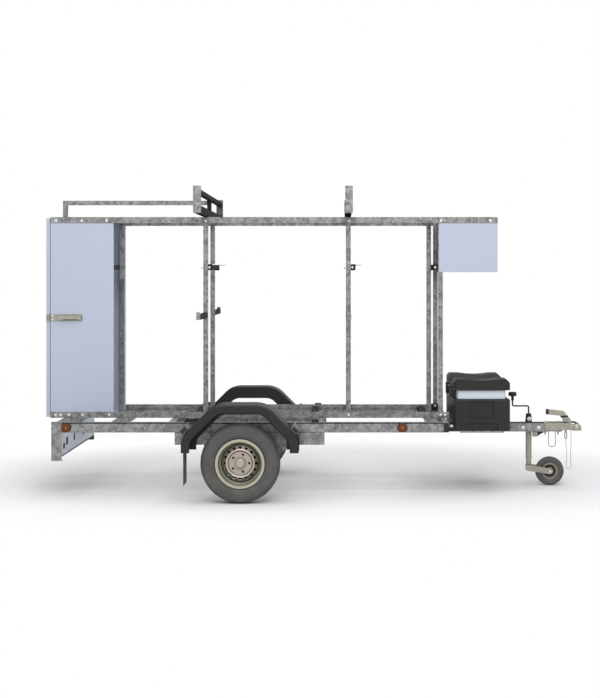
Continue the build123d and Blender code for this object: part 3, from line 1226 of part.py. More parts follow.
write(jockey_fork.part, "jockey_fork")

jockey_axis = Axis((JOCKEY_WHEEL_X, JOCKEY_Y, JOCKEY_WHEEL_Z), (0, 1, 0))
jockey_plane = Plane(origin=(JOCKEY_WHEEL_X, JOCKEY_Y, JOCKEY_WHEEL_Z), x_dir=(0, 1, 0),
                     z_dir=(1, 0, 0))
with BuildPart() as jockey_tyre:
    with BuildSketch(jockey_plane):
        half, outer = JOCKEY_WHEEL_WIDTH / 2, JOCKEY_WHEEL_DIAMETER / 2
        wall_middle = (outer + JOCKEY_RIM_RADIUS) / 2
        with BuildLine():
            crown_half = half - (outer - wall_middle)
            Polyline((-half + 8, JOCKEY_RIM_RADIUS), (half - 8, JOCKEY_RIM_RADIUS))
            TangentArc((half, wall_middle), (half - 8, JOCKEY_RIM_RADIUS), tangent=(0, -1))
            TangentArc((half, wall_middle), (crown_half, outer), tangent=(0, 1))
            Polyline((crown_half, outer), (-crown_half, outer))
            TangentArc((-half, wall_middle), (-crown_half, outer), tangent=(0, 1))
            TangentArc((-half, wall_middle), (-half + 8, JOCKEY_RIM_RADIUS), tangent=(0, -1))
        make_face()
    revolve(axis=jockey_axis)
write(jockey_tyre.part, "jockey_tyre")

with BuildPart() as jockey_rim:
    with BuildSketch(jockey_plane):
        rim_half = JOCKEY_WHEEL_WIDTH / 2 - 8
        rim_outer = JOCKEY_RIM_RADIUS - SEAT
        bore = JOCKEY_AXLE_RADIUS + RUNNING
        with BuildLine():
            Polyline((-rim_half - 4, bore), (-rim_half - 4, bore + 12), (-6, bore + 18),
                     (-6, rim_outer - 12), (-rim_half, rim_outer - 6), (-rim_half, rim_outer),
                     (rim_half, rim_outer), (rim_half, rim_outer - 6), (6, rim_outer - 12),
                     (6, bore + 18), (rim_half + 4, bore + 12), (rim_half + 4, bore), close=True)
        make_face()
    revolve(axis=jockey_axis)
write(jockey_rim.part, "jockey_rim")

# ---------------------------------------------------------------- bail and safety cable
with BuildPart() as bail:
    with BuildLine() as bail_line:
        FilletPolyline((BAIL_X - BAIL_HALF_WIDTH, 0, DRAWBAR_FOOT),
                       (BAIL_X - BAIL_HALF_WIDTH, 0, BAIL_FOOT),
                       (BAIL_X + BAIL_HALF_WIDTH, 0, BAIL_FOOT),
                       (BAIL_X + BAIL_HALF_WIDTH, 0, DRAWBAR_FOOT), radius=20)
    with BuildSketch(Plane(origin=bail_line.line @ 0, z_dir=bail_line.line % 0)):
        Circle(BAIL_WIRE)
    sweep(path=bail_line.line)
write(bail.part, "bail")

with BuildPart() as snap_hook:
    hook_low = HOOK_TOP - HOOK_LENGTH
    with BuildSketch(Plane(origin=(HOOK_X, HOOK_WIRE, HOOK_TOP - HOOK_LENGTH / 2),
                           x_dir=(1, 0, 0), z_dir=(0, -1, 0))):
        SlotOverall(HOOK_LENGTH, HOOK_WIDTH, rotation=90)
        SlotOverall(HOOK_LENGTH - 4 * HOOK_WIRE, HOOK_WIDTH - 4 * HOOK_WIRE, rotation=90,
                    mode=Mode.SUBTRACT)
    extrude(amount=2 * HOOK_WIRE)
write(snap_hook.part, "snap_hook")

CABLE_ROUTE = [
    (1984, 0, 443), (1985, 1, 414), (1986, 2, 357), (1985, 3, 300), (1981, 3, 246), (1984, 2, 197),
    (1986, 1, 170), (1984, 0, 148), (1973, -1, 136), (1957, -1, 136), (1946, 0, 148), (1948, 1, 172),
    (1951, 2, 214), (1953, 1, 261), (1948, 0, 307), (1944, 0, 345), (1944.3, 0, 369.7),
]


def corner_radii(points):
    """Radius at each corner: as large as its two runs allow."""
    radii = []
    for before, here, after in zip(points, points[1:], points[2:]):
        into = Vector(*here) - Vector(*before)
        out = Vector(*after) - Vector(*here)
        turn = math.radians(into.get_angle(out))
        radii.append(0.45 * min(into.length, out.length) / math.tan(turn / 2))
    return radii


with BuildPart() as safety_cable:
    cable_radii = corner_radii(CABLE_ROUTE)
    with BuildLine() as cable_line:
        FilletPolyline(*CABLE_ROUTE, radius=cable_radii)
    with BuildSketch(Plane(origin=cable_line.line @ 0, z_dir=cable_line.line % 0)):
        Circle(CABLE_DIAMETER / 2)
    sweep(path=cable_line.line)
write(safety_cable.part, "safety_cable")
print("cable corner radii", [round(radius) for radius in cable_radii])
print("cable length", round(sum(edge.length for edge in cable_line.edges())))
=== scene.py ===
"""Looks of a single-axle scaffolding trailer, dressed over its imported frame.

Metres. +X points forwards to the coupling, +Y to the left, +Z up, with the ground at Z = 0.
Each class below dresses one sub-assembly; every piece it makes rides on the body that carries it.
"""

import json
import logging
import math
from collections.abc import Iterable, Sequence
from dataclasses import dataclass, replace
from enum import Enum
from typing import Any

import bmesh
import bpy
import numpy as np
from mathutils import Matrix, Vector

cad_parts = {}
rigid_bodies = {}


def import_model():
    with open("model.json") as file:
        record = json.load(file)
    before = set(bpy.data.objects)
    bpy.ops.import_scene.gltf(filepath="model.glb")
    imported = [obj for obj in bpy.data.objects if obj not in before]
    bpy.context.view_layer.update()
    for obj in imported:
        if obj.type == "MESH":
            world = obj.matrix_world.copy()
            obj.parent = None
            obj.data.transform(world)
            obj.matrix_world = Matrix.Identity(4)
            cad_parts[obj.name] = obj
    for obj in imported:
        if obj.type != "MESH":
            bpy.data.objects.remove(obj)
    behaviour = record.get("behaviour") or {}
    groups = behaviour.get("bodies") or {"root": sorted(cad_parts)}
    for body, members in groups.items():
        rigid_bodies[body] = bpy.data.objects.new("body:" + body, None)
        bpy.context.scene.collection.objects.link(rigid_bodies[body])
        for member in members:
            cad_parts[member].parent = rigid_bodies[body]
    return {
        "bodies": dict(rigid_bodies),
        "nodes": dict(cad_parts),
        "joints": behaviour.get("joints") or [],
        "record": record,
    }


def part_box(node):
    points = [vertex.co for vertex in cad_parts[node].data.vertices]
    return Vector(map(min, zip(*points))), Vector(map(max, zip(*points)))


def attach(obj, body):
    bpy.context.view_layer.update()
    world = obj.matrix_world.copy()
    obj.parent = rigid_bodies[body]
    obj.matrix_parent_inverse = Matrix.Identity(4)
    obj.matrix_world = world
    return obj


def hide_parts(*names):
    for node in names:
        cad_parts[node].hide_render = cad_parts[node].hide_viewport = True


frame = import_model()

LOG = logging.getLogger("trailer")
SMOOTH_ANGLE = math.radians(32)

Point = tuple[float, float, float]
Profile = Sequence[tuple[float, float]]
Tree = bpy.types.ShaderNodeTree
Node = bpy.types.ShaderNode
Socket = bpy.types.NodeSocket
Level = Socket | float
Colour = Socket | tuple[float, float, float, float]


# ---------------------------------------------------------------- directions and bodies
class Direction(Enum):
    """Which way a shape's local Z points; the rows carry local points to the frame's axes."""

    FORWARDS = ((0, 0, 1), (1, 0, 0), (0, 1, 0))
    REARWARDS = ((0, 0, -1), (-1, 0, 0), (0, 1, 0))
    LEFT = ((1, 0, 0), (0, 0, 1), (0, -1, 0))
    RIGHT = ((1, 0, 0), (0, 0, -1), (0, 1, 0))

    @property
    def matrix(self) -> np.ndarray:
        """Rows that carry local points to the frame's axes."""
        return np.array(self.value, float)


class Side(Enum):
    """The trailer's two sides; the value is the sign that Y has there."""

    LEFT = 1
    RIGHT = -1

    @property
    def label(self) -> str:
        """The side's name as the pieces' names have it."""
        return self.name.lower()

    @property
    def outwards(self) -> Direction:
        """The direction away from the centre plane."""
        return Direction[self.name]

    @property
    def inwards(self) -> Direction:
        """The direction towards the centre plane."""
        return Side(-self.value).outwards


class Body(Enum):
    """Bodies of the frame that carry pieces."""

    CHASSIS = "chassis"
    WHEEL_LEFT = "wheel_left"
    WHEEL_RIGHT = "wheel_right"
    JOCKEY_CASTER = "jockey_caster"
    JOCKEY_WHEEL = "jockey_wheel"


# ---------------------------------------------------------------- surfaces
@dataclass(frozen=True)
class Surface:
    """Points and faces of a shape.

    Args:
        points: corner positions, one row each.
        loops: corner numbers of every face, one face after another.
        sizes: how many corners each face has.
    """

    points: np.ndarray
    loops: np.ndarray
    sizes: np.ndarray

    def at(self, *place: float) -> "Surface":
        """Returns the surface moved by the offset."""
        return replace(self, points=self.points + np.array(place, float))

    def facing(self, direction: Direction) -> "Surface":
        """Returns the surface with its local Z turned to a direction."""
        return replace(self, points=self.points @ direction.matrix.T)

    def spun(self, angle: float) -> "Surface":
        """Turns the surface about its local Z.

        Args:
            angle: in radians.

        Returns:
            The turned surface.
        """
        cosine, sine = math.cos(angle), math.sin(angle)
        turn = np.array([(cosine, sine, 0), (-sine, cosine, 0), (0, 0, 1)])
        return replace(self, points=self.points @ turn)

    def copies(self, places: Sequence[Point] | np.ndarray) -> "Surface":
        """Repeats the surface.

        Args:
            places: offset of each copy.

        Returns:
            One surface that holds all the copies.
        """
        places = np.atleast_2d(np.array(places, float))
        points = (self.points[None] + places[:, None]).reshape(-1, 3)
        steps = len(self.points) * np.arange(len(places))[:, None]
        return Surface(points, (self.loops[None] + steps).ravel(), np.tile(self.sizes, len(places)))

    @staticmethod
    def joined(parts: Sequence["Surface"]) -> "Surface":
        """Puts surfaces together.

        Args:
            parts: the surfaces.

        Returns:
            One surface with the points and faces of all of them.
        """
        starts = np.cumsum([0] + [len(part.points) for part in parts[:-1]])
        loops = [part.loops + start for part, start in zip(parts, starts)]
        return Surface(np.concatenate([part.points for part in parts]), np.concatenate(loops),
                       np.concatenate([part.sizes for part in parts]))


def lofted(rings: np.ndarray, capped: bool = True) -> Surface:
    """Skin over closed rings: point k of each ring is joined to point k of the next one.

    Args:
        rings: array of (ring, point, xyz).
        capped: whether the first and last rings are filled.

    Returns:
        The surface.
    """
    rows, columns = rings.shape[:2]
    row = np.arange(rows - 1)[:, None]
    column = np.arange(columns)[None]
    after = (column + 1) % columns
    quads = np.stack([row * columns + column, row * columns + after,
                      (row + 1) * columns + after, (row + 1) * columns + column], -1).reshape(-1, 4)
    loops, sizes = [quads.ravel()], [np.full(len(quads), 4)]
    if capped:
        loops += [np.arange(columns)[::-1], np.arange(columns) + (rows - 1) * columns]
        sizes += [np.array([columns, columns])]
    return Surface(rings.reshape(-1, 3), np.concatenate(loops), np.concatenate(sizes))


def turned(profile: Profile | np.ndarray, segments: int = 48, capped: bool = True) -> Surface:
    """Shape turned about local Z: (r, h) of the profile becomes the ring (r cos a, r sin a, h).

    Args:
        profile: (radius, height) pairs in order.
        segments: faces round the axis.
        capped: whether both ends are filled.

    Returns:
        The surface.
    """
    profile = np.array(profile, float)
    angle = np.linspace(0, 2 * np.pi, segments, endpoint=False)
    radius, height = profile[:, :1], profile[:, 1:]
    rings = np.stack([radius * np.cos(angle), radius * np.sin(angle),
                      np.broadcast_to(height, (len(profile), segments))], -1)
    return lofted(rings, capped=capped)


def dome(radius: float, height: float, foot: float = 0.0, rows: int = 9, segments: int = 40) -> Surface:
    """Part of a ball's skin, height * cos(t) high where the radius is radius * sin(t).

    Args:
        radius: at the foot.
        height: of the top above the foot.
        foot: level of the foot.
        rows: rings from the foot to the top.
        segments: faces round the axis.

    Returns:
        The surface.
    """
    tip_angle = 0.04
    bend = np.linspace(np.pi / 2, tip_angle, rows)
    return turned(np.stack([radius * np.sin(bend), foot + height * np.cos(bend)], -1), segments)


def rounded(width: float, height: float, corner: float, level: float) -> np.ndarray:
    """Ring of points round a rectangle: four quarter circles about its corners' centres.

    Args:
        width: size along local X.
        height: size along local Y.
        corner: radius of the corners.
        level: of the ring along local Z.

    Returns:
        The points, one row each.
    """
    steps = 6
    quarter = np.linspace(0, np.pi / 2, steps)
    angle = (np.arange(4)[:, None] * np.pi / 2 + quarter).ravel()
    sign_x = np.repeat([1, -1, -1, 1], steps)
    sign_y = np.repeat([1, 1, -1, -1], steps)
    return np.stack([sign_x * (width / 2 - corner) + corner * np.cos(angle),
                     sign_y * (height / 2 - corner) + corner * np.sin(angle), np.full(4 * steps, level)], -1)


def plate(width: float, height: float, depth: float, corner: float = 0.004,
          chamfer: float = 0.0008) -> Surface:
    """Upright slab with rounded corners and broken edges, standing on local Z = 0.

    It is a skin over four rounded rectangles, of which the outer two are smaller by the chamfer.

    Args:
        width: size along local X.
        height: size along local Y.
        depth: size along local Z.
        corner: radius of the four corners.
        chamfer: how much is taken off each edge.

    Returns:
        The surface.
    """
    steps = ((chamfer, 0), (0, chamfer), (0, depth - chamfer), (chamfer, depth))
    return lofted(np.array([rounded(width - 2 * inset, height - 2 * inset, corner - inset, level)
                            for inset, level in steps]))


def bezel(width: float, height: float, band: float, depth: float, corner: float = 0.003) -> Surface:
    """Flat frame with rounded corners, standing on local Z = 0.

    It is a skin up over its outer outline and down over its inner one.

    Args:
        width: size along local X.
        height: size along local Y.
        band: how wide the frame's band is.
        depth: size along local Z.
        corner: radius of the outer corners.

    Returns:
        The surface.
    """
    least_corner = 0.0005
    inner_corner = max(corner - band, least_corner)
    inner = [rounded(width - 2 * band, height - 2 * band, inner_corner, level) for level in (depth, 0)]
    outer = [rounded(width, height, corner, level) for level in (0, depth)]
    return lofted(np.array(outer + inner), capped=False)


def slab(outline: Profile, half_width: float) -> Surface:
    """Upright slice: the same outline at Y = -half_width and Y = half_width, with a skin between.

    Args:
        outline: (x, z) points in order.
        half_width: how far it reaches to each side.

    Returns:
        The surface.
    """
    outline = np.array(outline, float)
    rings = [np.stack([outline[:, 0], np.full(len(outline), y), outline[:, 1]], -1)
             for y in (-half_width, half_width)]
    return lofted(np.array(rings))


def tube(path: Sequence[Point], radius: float, normal: Point, sides: int = 12) -> Surface:
    """Round bar: a circle square to the path is carried along it.

    Args:
        path: points in order, all in one plane.
        radius: of the bar.
        normal: direction square to the path's plane.
        sides: how many faces go round.

    Returns:
        The surface.
    """
    path = np.array(path, float)
    along = np.gradient(path, axis=0)
    along /= np.linalg.norm(along, axis=1, keepdims=True)
    across = np.cross(along, np.array(normal, float))
    across /= np.linalg.norm(across, axis=1, keepdims=True)
    angle = np.linspace(0, 2 * np.pi, sides, endpoint=False)[None, :, None]
    up = np.cross(across, along)
    return lofted(path[:, None] + radius * (np.cos(angle) * across[:, None] + np.sin(angle) * up[:, None]))


def bolt(radius: float, height: float, washer: float = 1.5) -> Surface:
    """Hexagon head on its washer, both turned, standing on local Z = 0.

    Args:
        radius: of the hexagon's corners.
        height: of the head's top.
        washer: radius of the washer as a multiple of the head's.

    Returns:
        The surface.
    """
    washer_edge, washer_top, washer_taper = 0.0014, 0.0018, 0.93
    edge_share, top_taper = 0.85, 0.84
    brim = radius * washer
    head = turned([(radius, washer_top), (radius, height * edge_share), (radius * top_taper, height)], 6)
    ring = turned([(brim, 0), (brim, washer_edge), (brim * washer_taper, washer_top)], 28)
    return Surface.joined([head, ring])


def button(radius: float, height: float) -> Surface:
    """Low round head, a dome that stands on local Z = 0."""
    return dome(radius, height, rows=7, segments=28)


# ---------------------------------------------------------------- shader groups
class Effect(Enum):
    """The shared shader groups; the value is the group's name."""

    SPANGLE = "zinc_spangle"
    GRAIN = "fine_grain"
    WEAR = "edge_wear"
    DUST = "road_dust"
    RIBS = "level_ribs"
    # Painted shade: a dark tint laid in closed corners, where little sky is seen.
    GRIME = "corner_grime"
    # Rings about the wheel's axle, with painted shade over the vents and painted highlights.
    RINGS = "wheel_rings"
    BEHIND = "behind_limit"


class Effects:
    """Builds the shared shader groups, each putting out masks, values or heights."""

    FINE_CRYSTALS = 2.6
    COARSE_SHARE = 0.40
    FINE_SHARE = 0.22
    CLOUD_SHARE = 0.38
    CLOUD_SCALE = 7.0
    EDGE_LIKENESS = (0.99, 0.86)
    WEAR_PATCHES = (60.0, 0.4, 0.6)
    DUST_PATCHES = (14.0, 0.35, 0.7)
    CLOSED_SKY = (0.95, 0.25)
    AXLE = (-0.551, 0, 0.290)
    OUTER_RIM = 0.103
    RING_REACH = 0.2
    # Radius and tone: the dark band from 0.105 to 0.131 m over the vents is painted shade, tones above 1 are
    # painted highlights, and the rest are thin dark lines.
    RING_TONES = ((0.000, 1.0), (0.031, 1.0), (0.033, 0.62), (0.035, 1.0), (0.084, 1.0), (0.087, 0.32),
                  (0.091, 0.32), (0.094, 1.5), (0.101, 1.5), (0.105, 0.34), (0.131, 0.28), (0.136, 1.45),
                  (0.150, 1.30), (0.153, 0.35), (0.157, 0.35), (0.161, 1.08))

    def __init__(self) -> None:
        """Builds every group."""
        self.groups = {Effect.SPANGLE: self._spangle(), Effect.GRAIN: self._grain(),
                       Effect.WEAR: self._wear(), Effect.DUST: self._dust(), Effect.RIBS: self._ribs(),
                       Effect.GRIME: self._grime(), Effect.RINGS: self._rings(),
                       Effect.BEHIND: self._behind()}

    @staticmethod
    def place(tree: Tree, kind: str, links: dict | None = None, **settings: Any) -> Node:
        """Adds a node.

        Args:
            tree: node tree that takes it.
            kind: node type.
            links: values or sockets for its inputs, by name or number.
            settings: properties of the node itself.

        Returns:
            The node.
        """
        node = tree.nodes.new(kind)
        for name, value in settings.items():
            setattr(node, name, value)
        for name, value in (links or {}).items():
            if isinstance(value, bpy.types.NodeSocket):
                tree.links.new(value, node.inputs[name])
            else:
                node.inputs[name].default_value = value
        return node

    @classmethod
    def math(cls, tree: Tree, operation: str, *values: Level) -> Socket:
        """Adds a math node and returns its output."""
        return cls.place(tree, "ShaderNodeMath", dict(enumerate(values)), operation=operation).outputs[0]

    @classmethod
    def vector_math(cls, tree: Tree, operation: str, *values: Socket | Point) -> Node:
        """Adds a vector math node and returns it."""
        return cls.place(tree, "ShaderNodeVectorMath", dict(enumerate(values)), operation=operation)

    @classmethod
    def ramp(cls, tree: Tree, value: Level, low: float, high: float, to_low: float = 0.0,
             to_high: float = 1.0) -> Socket:
        """Adds a smooth range from one pair of values to another.

        Args:
            tree: node tree that takes it.
            value: what is read.
            low: value at which the range starts.
            high: value at which it ends.
            to_low: what it puts out at the start.
            to_high: what it puts out at the end.

        Returns:
            Its output.
        """
        links = {"Value": value, "From Min": low, "From Max": high, "To Min": to_low, "To Max": to_high}
        return cls.place(tree, "ShaderNodeMapRange", links, interpolation_type="SMOOTHSTEP").outputs[0]

    @classmethod
    def noise(cls, tree: Tree, where: Socket, scale: Level, detail: float) -> Socket:
        """Adds a noise texture and returns its value."""
        links = {"Vector": where, "Scale": scale, "Detail": detail}
        return cls.place(tree, "ShaderNodeTexNoise", links).outputs[0]

    @staticmethod
    def position(tree: Tree) -> Socket:
        """Returns the position on the object, which is also the place in the frame."""
        return tree.nodes.new("ShaderNodeTexCoord").outputs["Object"]

    @classmethod
    def axis(cls, tree: Tree, letter: str) -> Socket:
        """Returns one of the position's coordinates."""
        return cls.place(tree, "ShaderNodeSeparateXYZ", {0: cls.position(tree)}).outputs[letter]

    @staticmethod
    def _open(effect: Effect, inputs: dict[str, float], outputs: Iterable[str]) -> tuple[Tree, Node, Node]:
        """Starts a group.

        Args:
            effect: which group it is.
            inputs: names of its inputs with their usual values.
            outputs: names of its outputs.

        Returns:
            Its tree, its input node and its output node.
        """
        tree = bpy.data.node_groups.new(effect.value, "ShaderNodeTree")
        for label, value in inputs.items():
            socket = tree.interface.new_socket(name=label, in_out="INPUT", socket_type="NodeSocketFloat")
            socket.default_value = value
        for label in outputs:
            tree.interface.new_socket(name=label, in_out="OUTPUT", socket_type="NodeSocketFloat")
        return tree, tree.nodes.new("NodeGroupInput"), tree.nodes.new("NodeGroupOutput")

    def _spangle(self) -> Tree:
        """Zinc crystals of two sizes over slow clouds, put out as Tone around a half.

        Returns:
            The group's tree.
        """
        tree, source, sink = self._open(Effect.SPANGLE, {"Scale": 30.0}, ["Tone"])
        where = self.position(tree)
        coarse = self.place(tree, "ShaderNodeTexVoronoi", {"Vector": where, "Scale": source.outputs["Scale"]})
        fine_scale = self.math(tree, "MULTIPLY", source.outputs["Scale"], self.FINE_CRYSTALS)
        fine = self.place(tree, "ShaderNodeTexVoronoi", {"Vector": where, "Scale": fine_scale})
        clouds = self.noise(tree, where, self.CLOUD_SCALE, 4.0)
        first = self.place(tree, "ShaderNodeSeparateColor", {"Color": coarse.outputs["Color"]}).outputs[0]
        second = self.place(tree, "ShaderNodeSeparateColor", {"Color": fine.outputs["Color"]}).outputs[1]
        crystals = self.math(tree, "MULTIPLY_ADD", first, self.COARSE_SHARE,
                             self.math(tree, "MULTIPLY", second, self.FINE_SHARE))
        tone = self.math(tree, "MULTIPLY_ADD", clouds, self.CLOUD_SHARE, crystals)
        tree.links.new(tone, sink.inputs["Tone"])
        return tree

    def _grain(self) -> Tree:
        """Fine moulded or rolled grain, put out as a Height.

        Returns:
            The group's tree.
        """
        tree, source, sink = self._open(Effect.GRAIN, {"Scale": 400.0}, ["Height"])
        grain = self.noise(tree, self.position(tree), source.outputs["Scale"], 3.0)
        tree.links.new(grain, sink.inputs["Height"])
        return tree

    def _wear(self) -> Tree:
        """Edges, found where a softened normal leaves the true one, broken up by noise.

        Returns:
            The group's tree.
        """
        tree, source, sink = self._open(Effect.WEAR, {"Radius": 0.002, "Amount": 0.5}, ["Mask"])
        softened = self.place(tree, "ShaderNodeBevel", {"Radius": source.outputs["Radius"]}, samples=4)
        true = self.place(tree, "ShaderNodeNewGeometry").outputs["Normal"]
        likeness = self.vector_math(tree, "DOT_PRODUCT", softened.outputs[0], true).outputs["Value"]
        edge = self.ramp(tree, likeness, *self.EDGE_LIKENESS)
        scale, low, high = self.WEAR_PATCHES
        patchy = self.ramp(tree, self.noise(tree, self.position(tree), scale, 4.0), low, high)
        mask = self.math(tree, "MULTIPLY", edge, patchy)
        tree.links.new(self.math(tree, "MULTIPLY", mask, source.outputs["Amount"]), sink.inputs["Mask"])
        return tree

    def _dust(self) -> Tree:
        """Dust that thins out with height above the ground.

        Returns:
            The group's tree.
        """
        tree, source, sink = self._open(Effect.DUST, {"Amount": 0.2, "Reach": 0.8}, ["Mask"])
        height = self.math(tree, "DIVIDE", self.axis(tree, "Z"), source.outputs["Reach"])
        low_down = self.math(tree, "SUBTRACT", 1.0, height)
        scale, low, high = self.DUST_PATCHES
        patchy = self.ramp(tree, self.noise(tree, self.position(tree), scale, 6.0), low, high)
        mask = self.math(tree, "MULTIPLY", low_down, patchy)
        kept = self.place(tree, "ShaderNodeClamp", {0: mask}).outputs[0]
        tree.links.new(self.math(tree, "MULTIPLY", kept, source.outputs["Amount"]), sink.inputs["Mask"])
        return tree

    def _grime(self) -> Tree:
        """Painted shade: closed corners, where little of the sky within Reach is seen, put out as a Mask.

        Returns:
            The group's tree.
        """
        tree, source, sink = self._open(Effect.GRIME, {"Reach": 0.05, "Amount": 0.5}, ["Mask"])
        reach = {"Distance": source.outputs["Reach"]}
        open_sky = self.place(tree, "ShaderNodeAmbientOcclusion", reach, samples=8)
        closed = self.ramp(tree, open_sky.outputs["AO"], *self.CLOSED_SKY)
        tree.links.new(self.math(tree, "MULTIPLY", closed, source.outputs["Amount"]), sink.inputs["Mask"])
        return tree

    def _rings(self) -> Tree:
        """Rings about a wheel's axle, with painted shade over the vents and painted highlights.

        Puts out a Tone that multiplies the colour, and an Outer mask of the rim beyond the disc.

        Returns:
            The group's tree.
        """
        tree, source, sink = self._open(Effect.RINGS, {"Depth": 1.0}, ["Tone", "Outer"])
        moved = self.vector_math(tree, "SUBTRACT", self.position(tree), self.AXLE).outputs["Vector"]
        flat = self.vector_math(tree, "MULTIPLY", moved, (1, 0, 1)).outputs["Vector"]
        radius = self.vector_math(tree, "LENGTH", flat).outputs["Value"]
        ramp = tree.nodes.new("ShaderNodeValToRGB")
        tree.links.new(self.math(tree, "DIVIDE", radius, self.RING_REACH), ramp.inputs["Fac"])
        stops = ramp.color_ramp.elements
        for ring, _ in self.RING_TONES[2:]:
            stops.new(ring / self.RING_REACH)
        for stop, (ring, tone) in zip(stops, self.RING_TONES):
            stop.position = ring / self.RING_REACH
            stop.color = (tone, tone, tone, 1)
        less = self.math(tree, "SUBTRACT", 1.0, ramp.outputs["Color"])
        tone = self.math(tree, "SUBTRACT", 1.0, self.math(tree, "MULTIPLY", less, source.outputs["Depth"]))
        tree.links.new(tone, sink.inputs["Tone"])
        tree.links.new(self.math(tree, "GREATER_THAN", radius, self.OUTER_RIM), sink.inputs["Outer"])
        return tree

    def _behind(self) -> Tree:
        """Everything whose X is under Limit, put out as a Mask.

        Returns:
            The group's tree.
        """
        tree, source, sink = self._open(Effect.BEHIND, {"Limit": 0.0}, ["Mask"])
        mask = self.math(tree, "LESS_THAN", self.axis(tree, "X"), source.outputs["Limit"])
        tree.links.new(mask, sink.inputs["Mask"])
        return tree

    def _ribs(self) -> Tree:
        """Level ribs, sin(2 pi z / pitch) from 0 to 1, put out as a Height.

        Returns:
            The group's tree.
        """
        tree, source, sink = self._open(Effect.RIBS, {"Pitch": 0.012}, ["Height"])
        turns = self.math(tree, "DIVIDE", self.axis(tree, "Z"), source.outputs["Pitch"])
        wave = self.math(tree, "SINE", self.math(tree, "MULTIPLY", turns, 2 * math.pi))
        tree.links.new(self.math(tree, "MULTIPLY_ADD", wave, 0.5, 0.5), sink.inputs["Height"])
        return tree


# ---------------------------------------------------------------- finishes
def linear(code: str) -> tuple[float, float, float, float]:
    """Returns the linear colour of a hexadecimal sRGB code."""
    parts = [int(code[place:place + 2], 16) / 255 for place in (0, 2, 4)]
    return tuple(p / 12.92 if p <= 0.04045 else ((p + 0.055) / 1.055) ** 2.4 for p in parts) + (1.0,)


class Tint(Enum):
    """Colours that an effect lays over a finish; the value is the sRGB code."""

    OUTER_RIM = "aeab99"
    BLACK = "1d1d1e"
    BARE_METAL = "c9c9c6"
    # Dark tint of the painted shade in closed corners.
    GRIME = "1c1b1a"
    DUST = "8d867a"


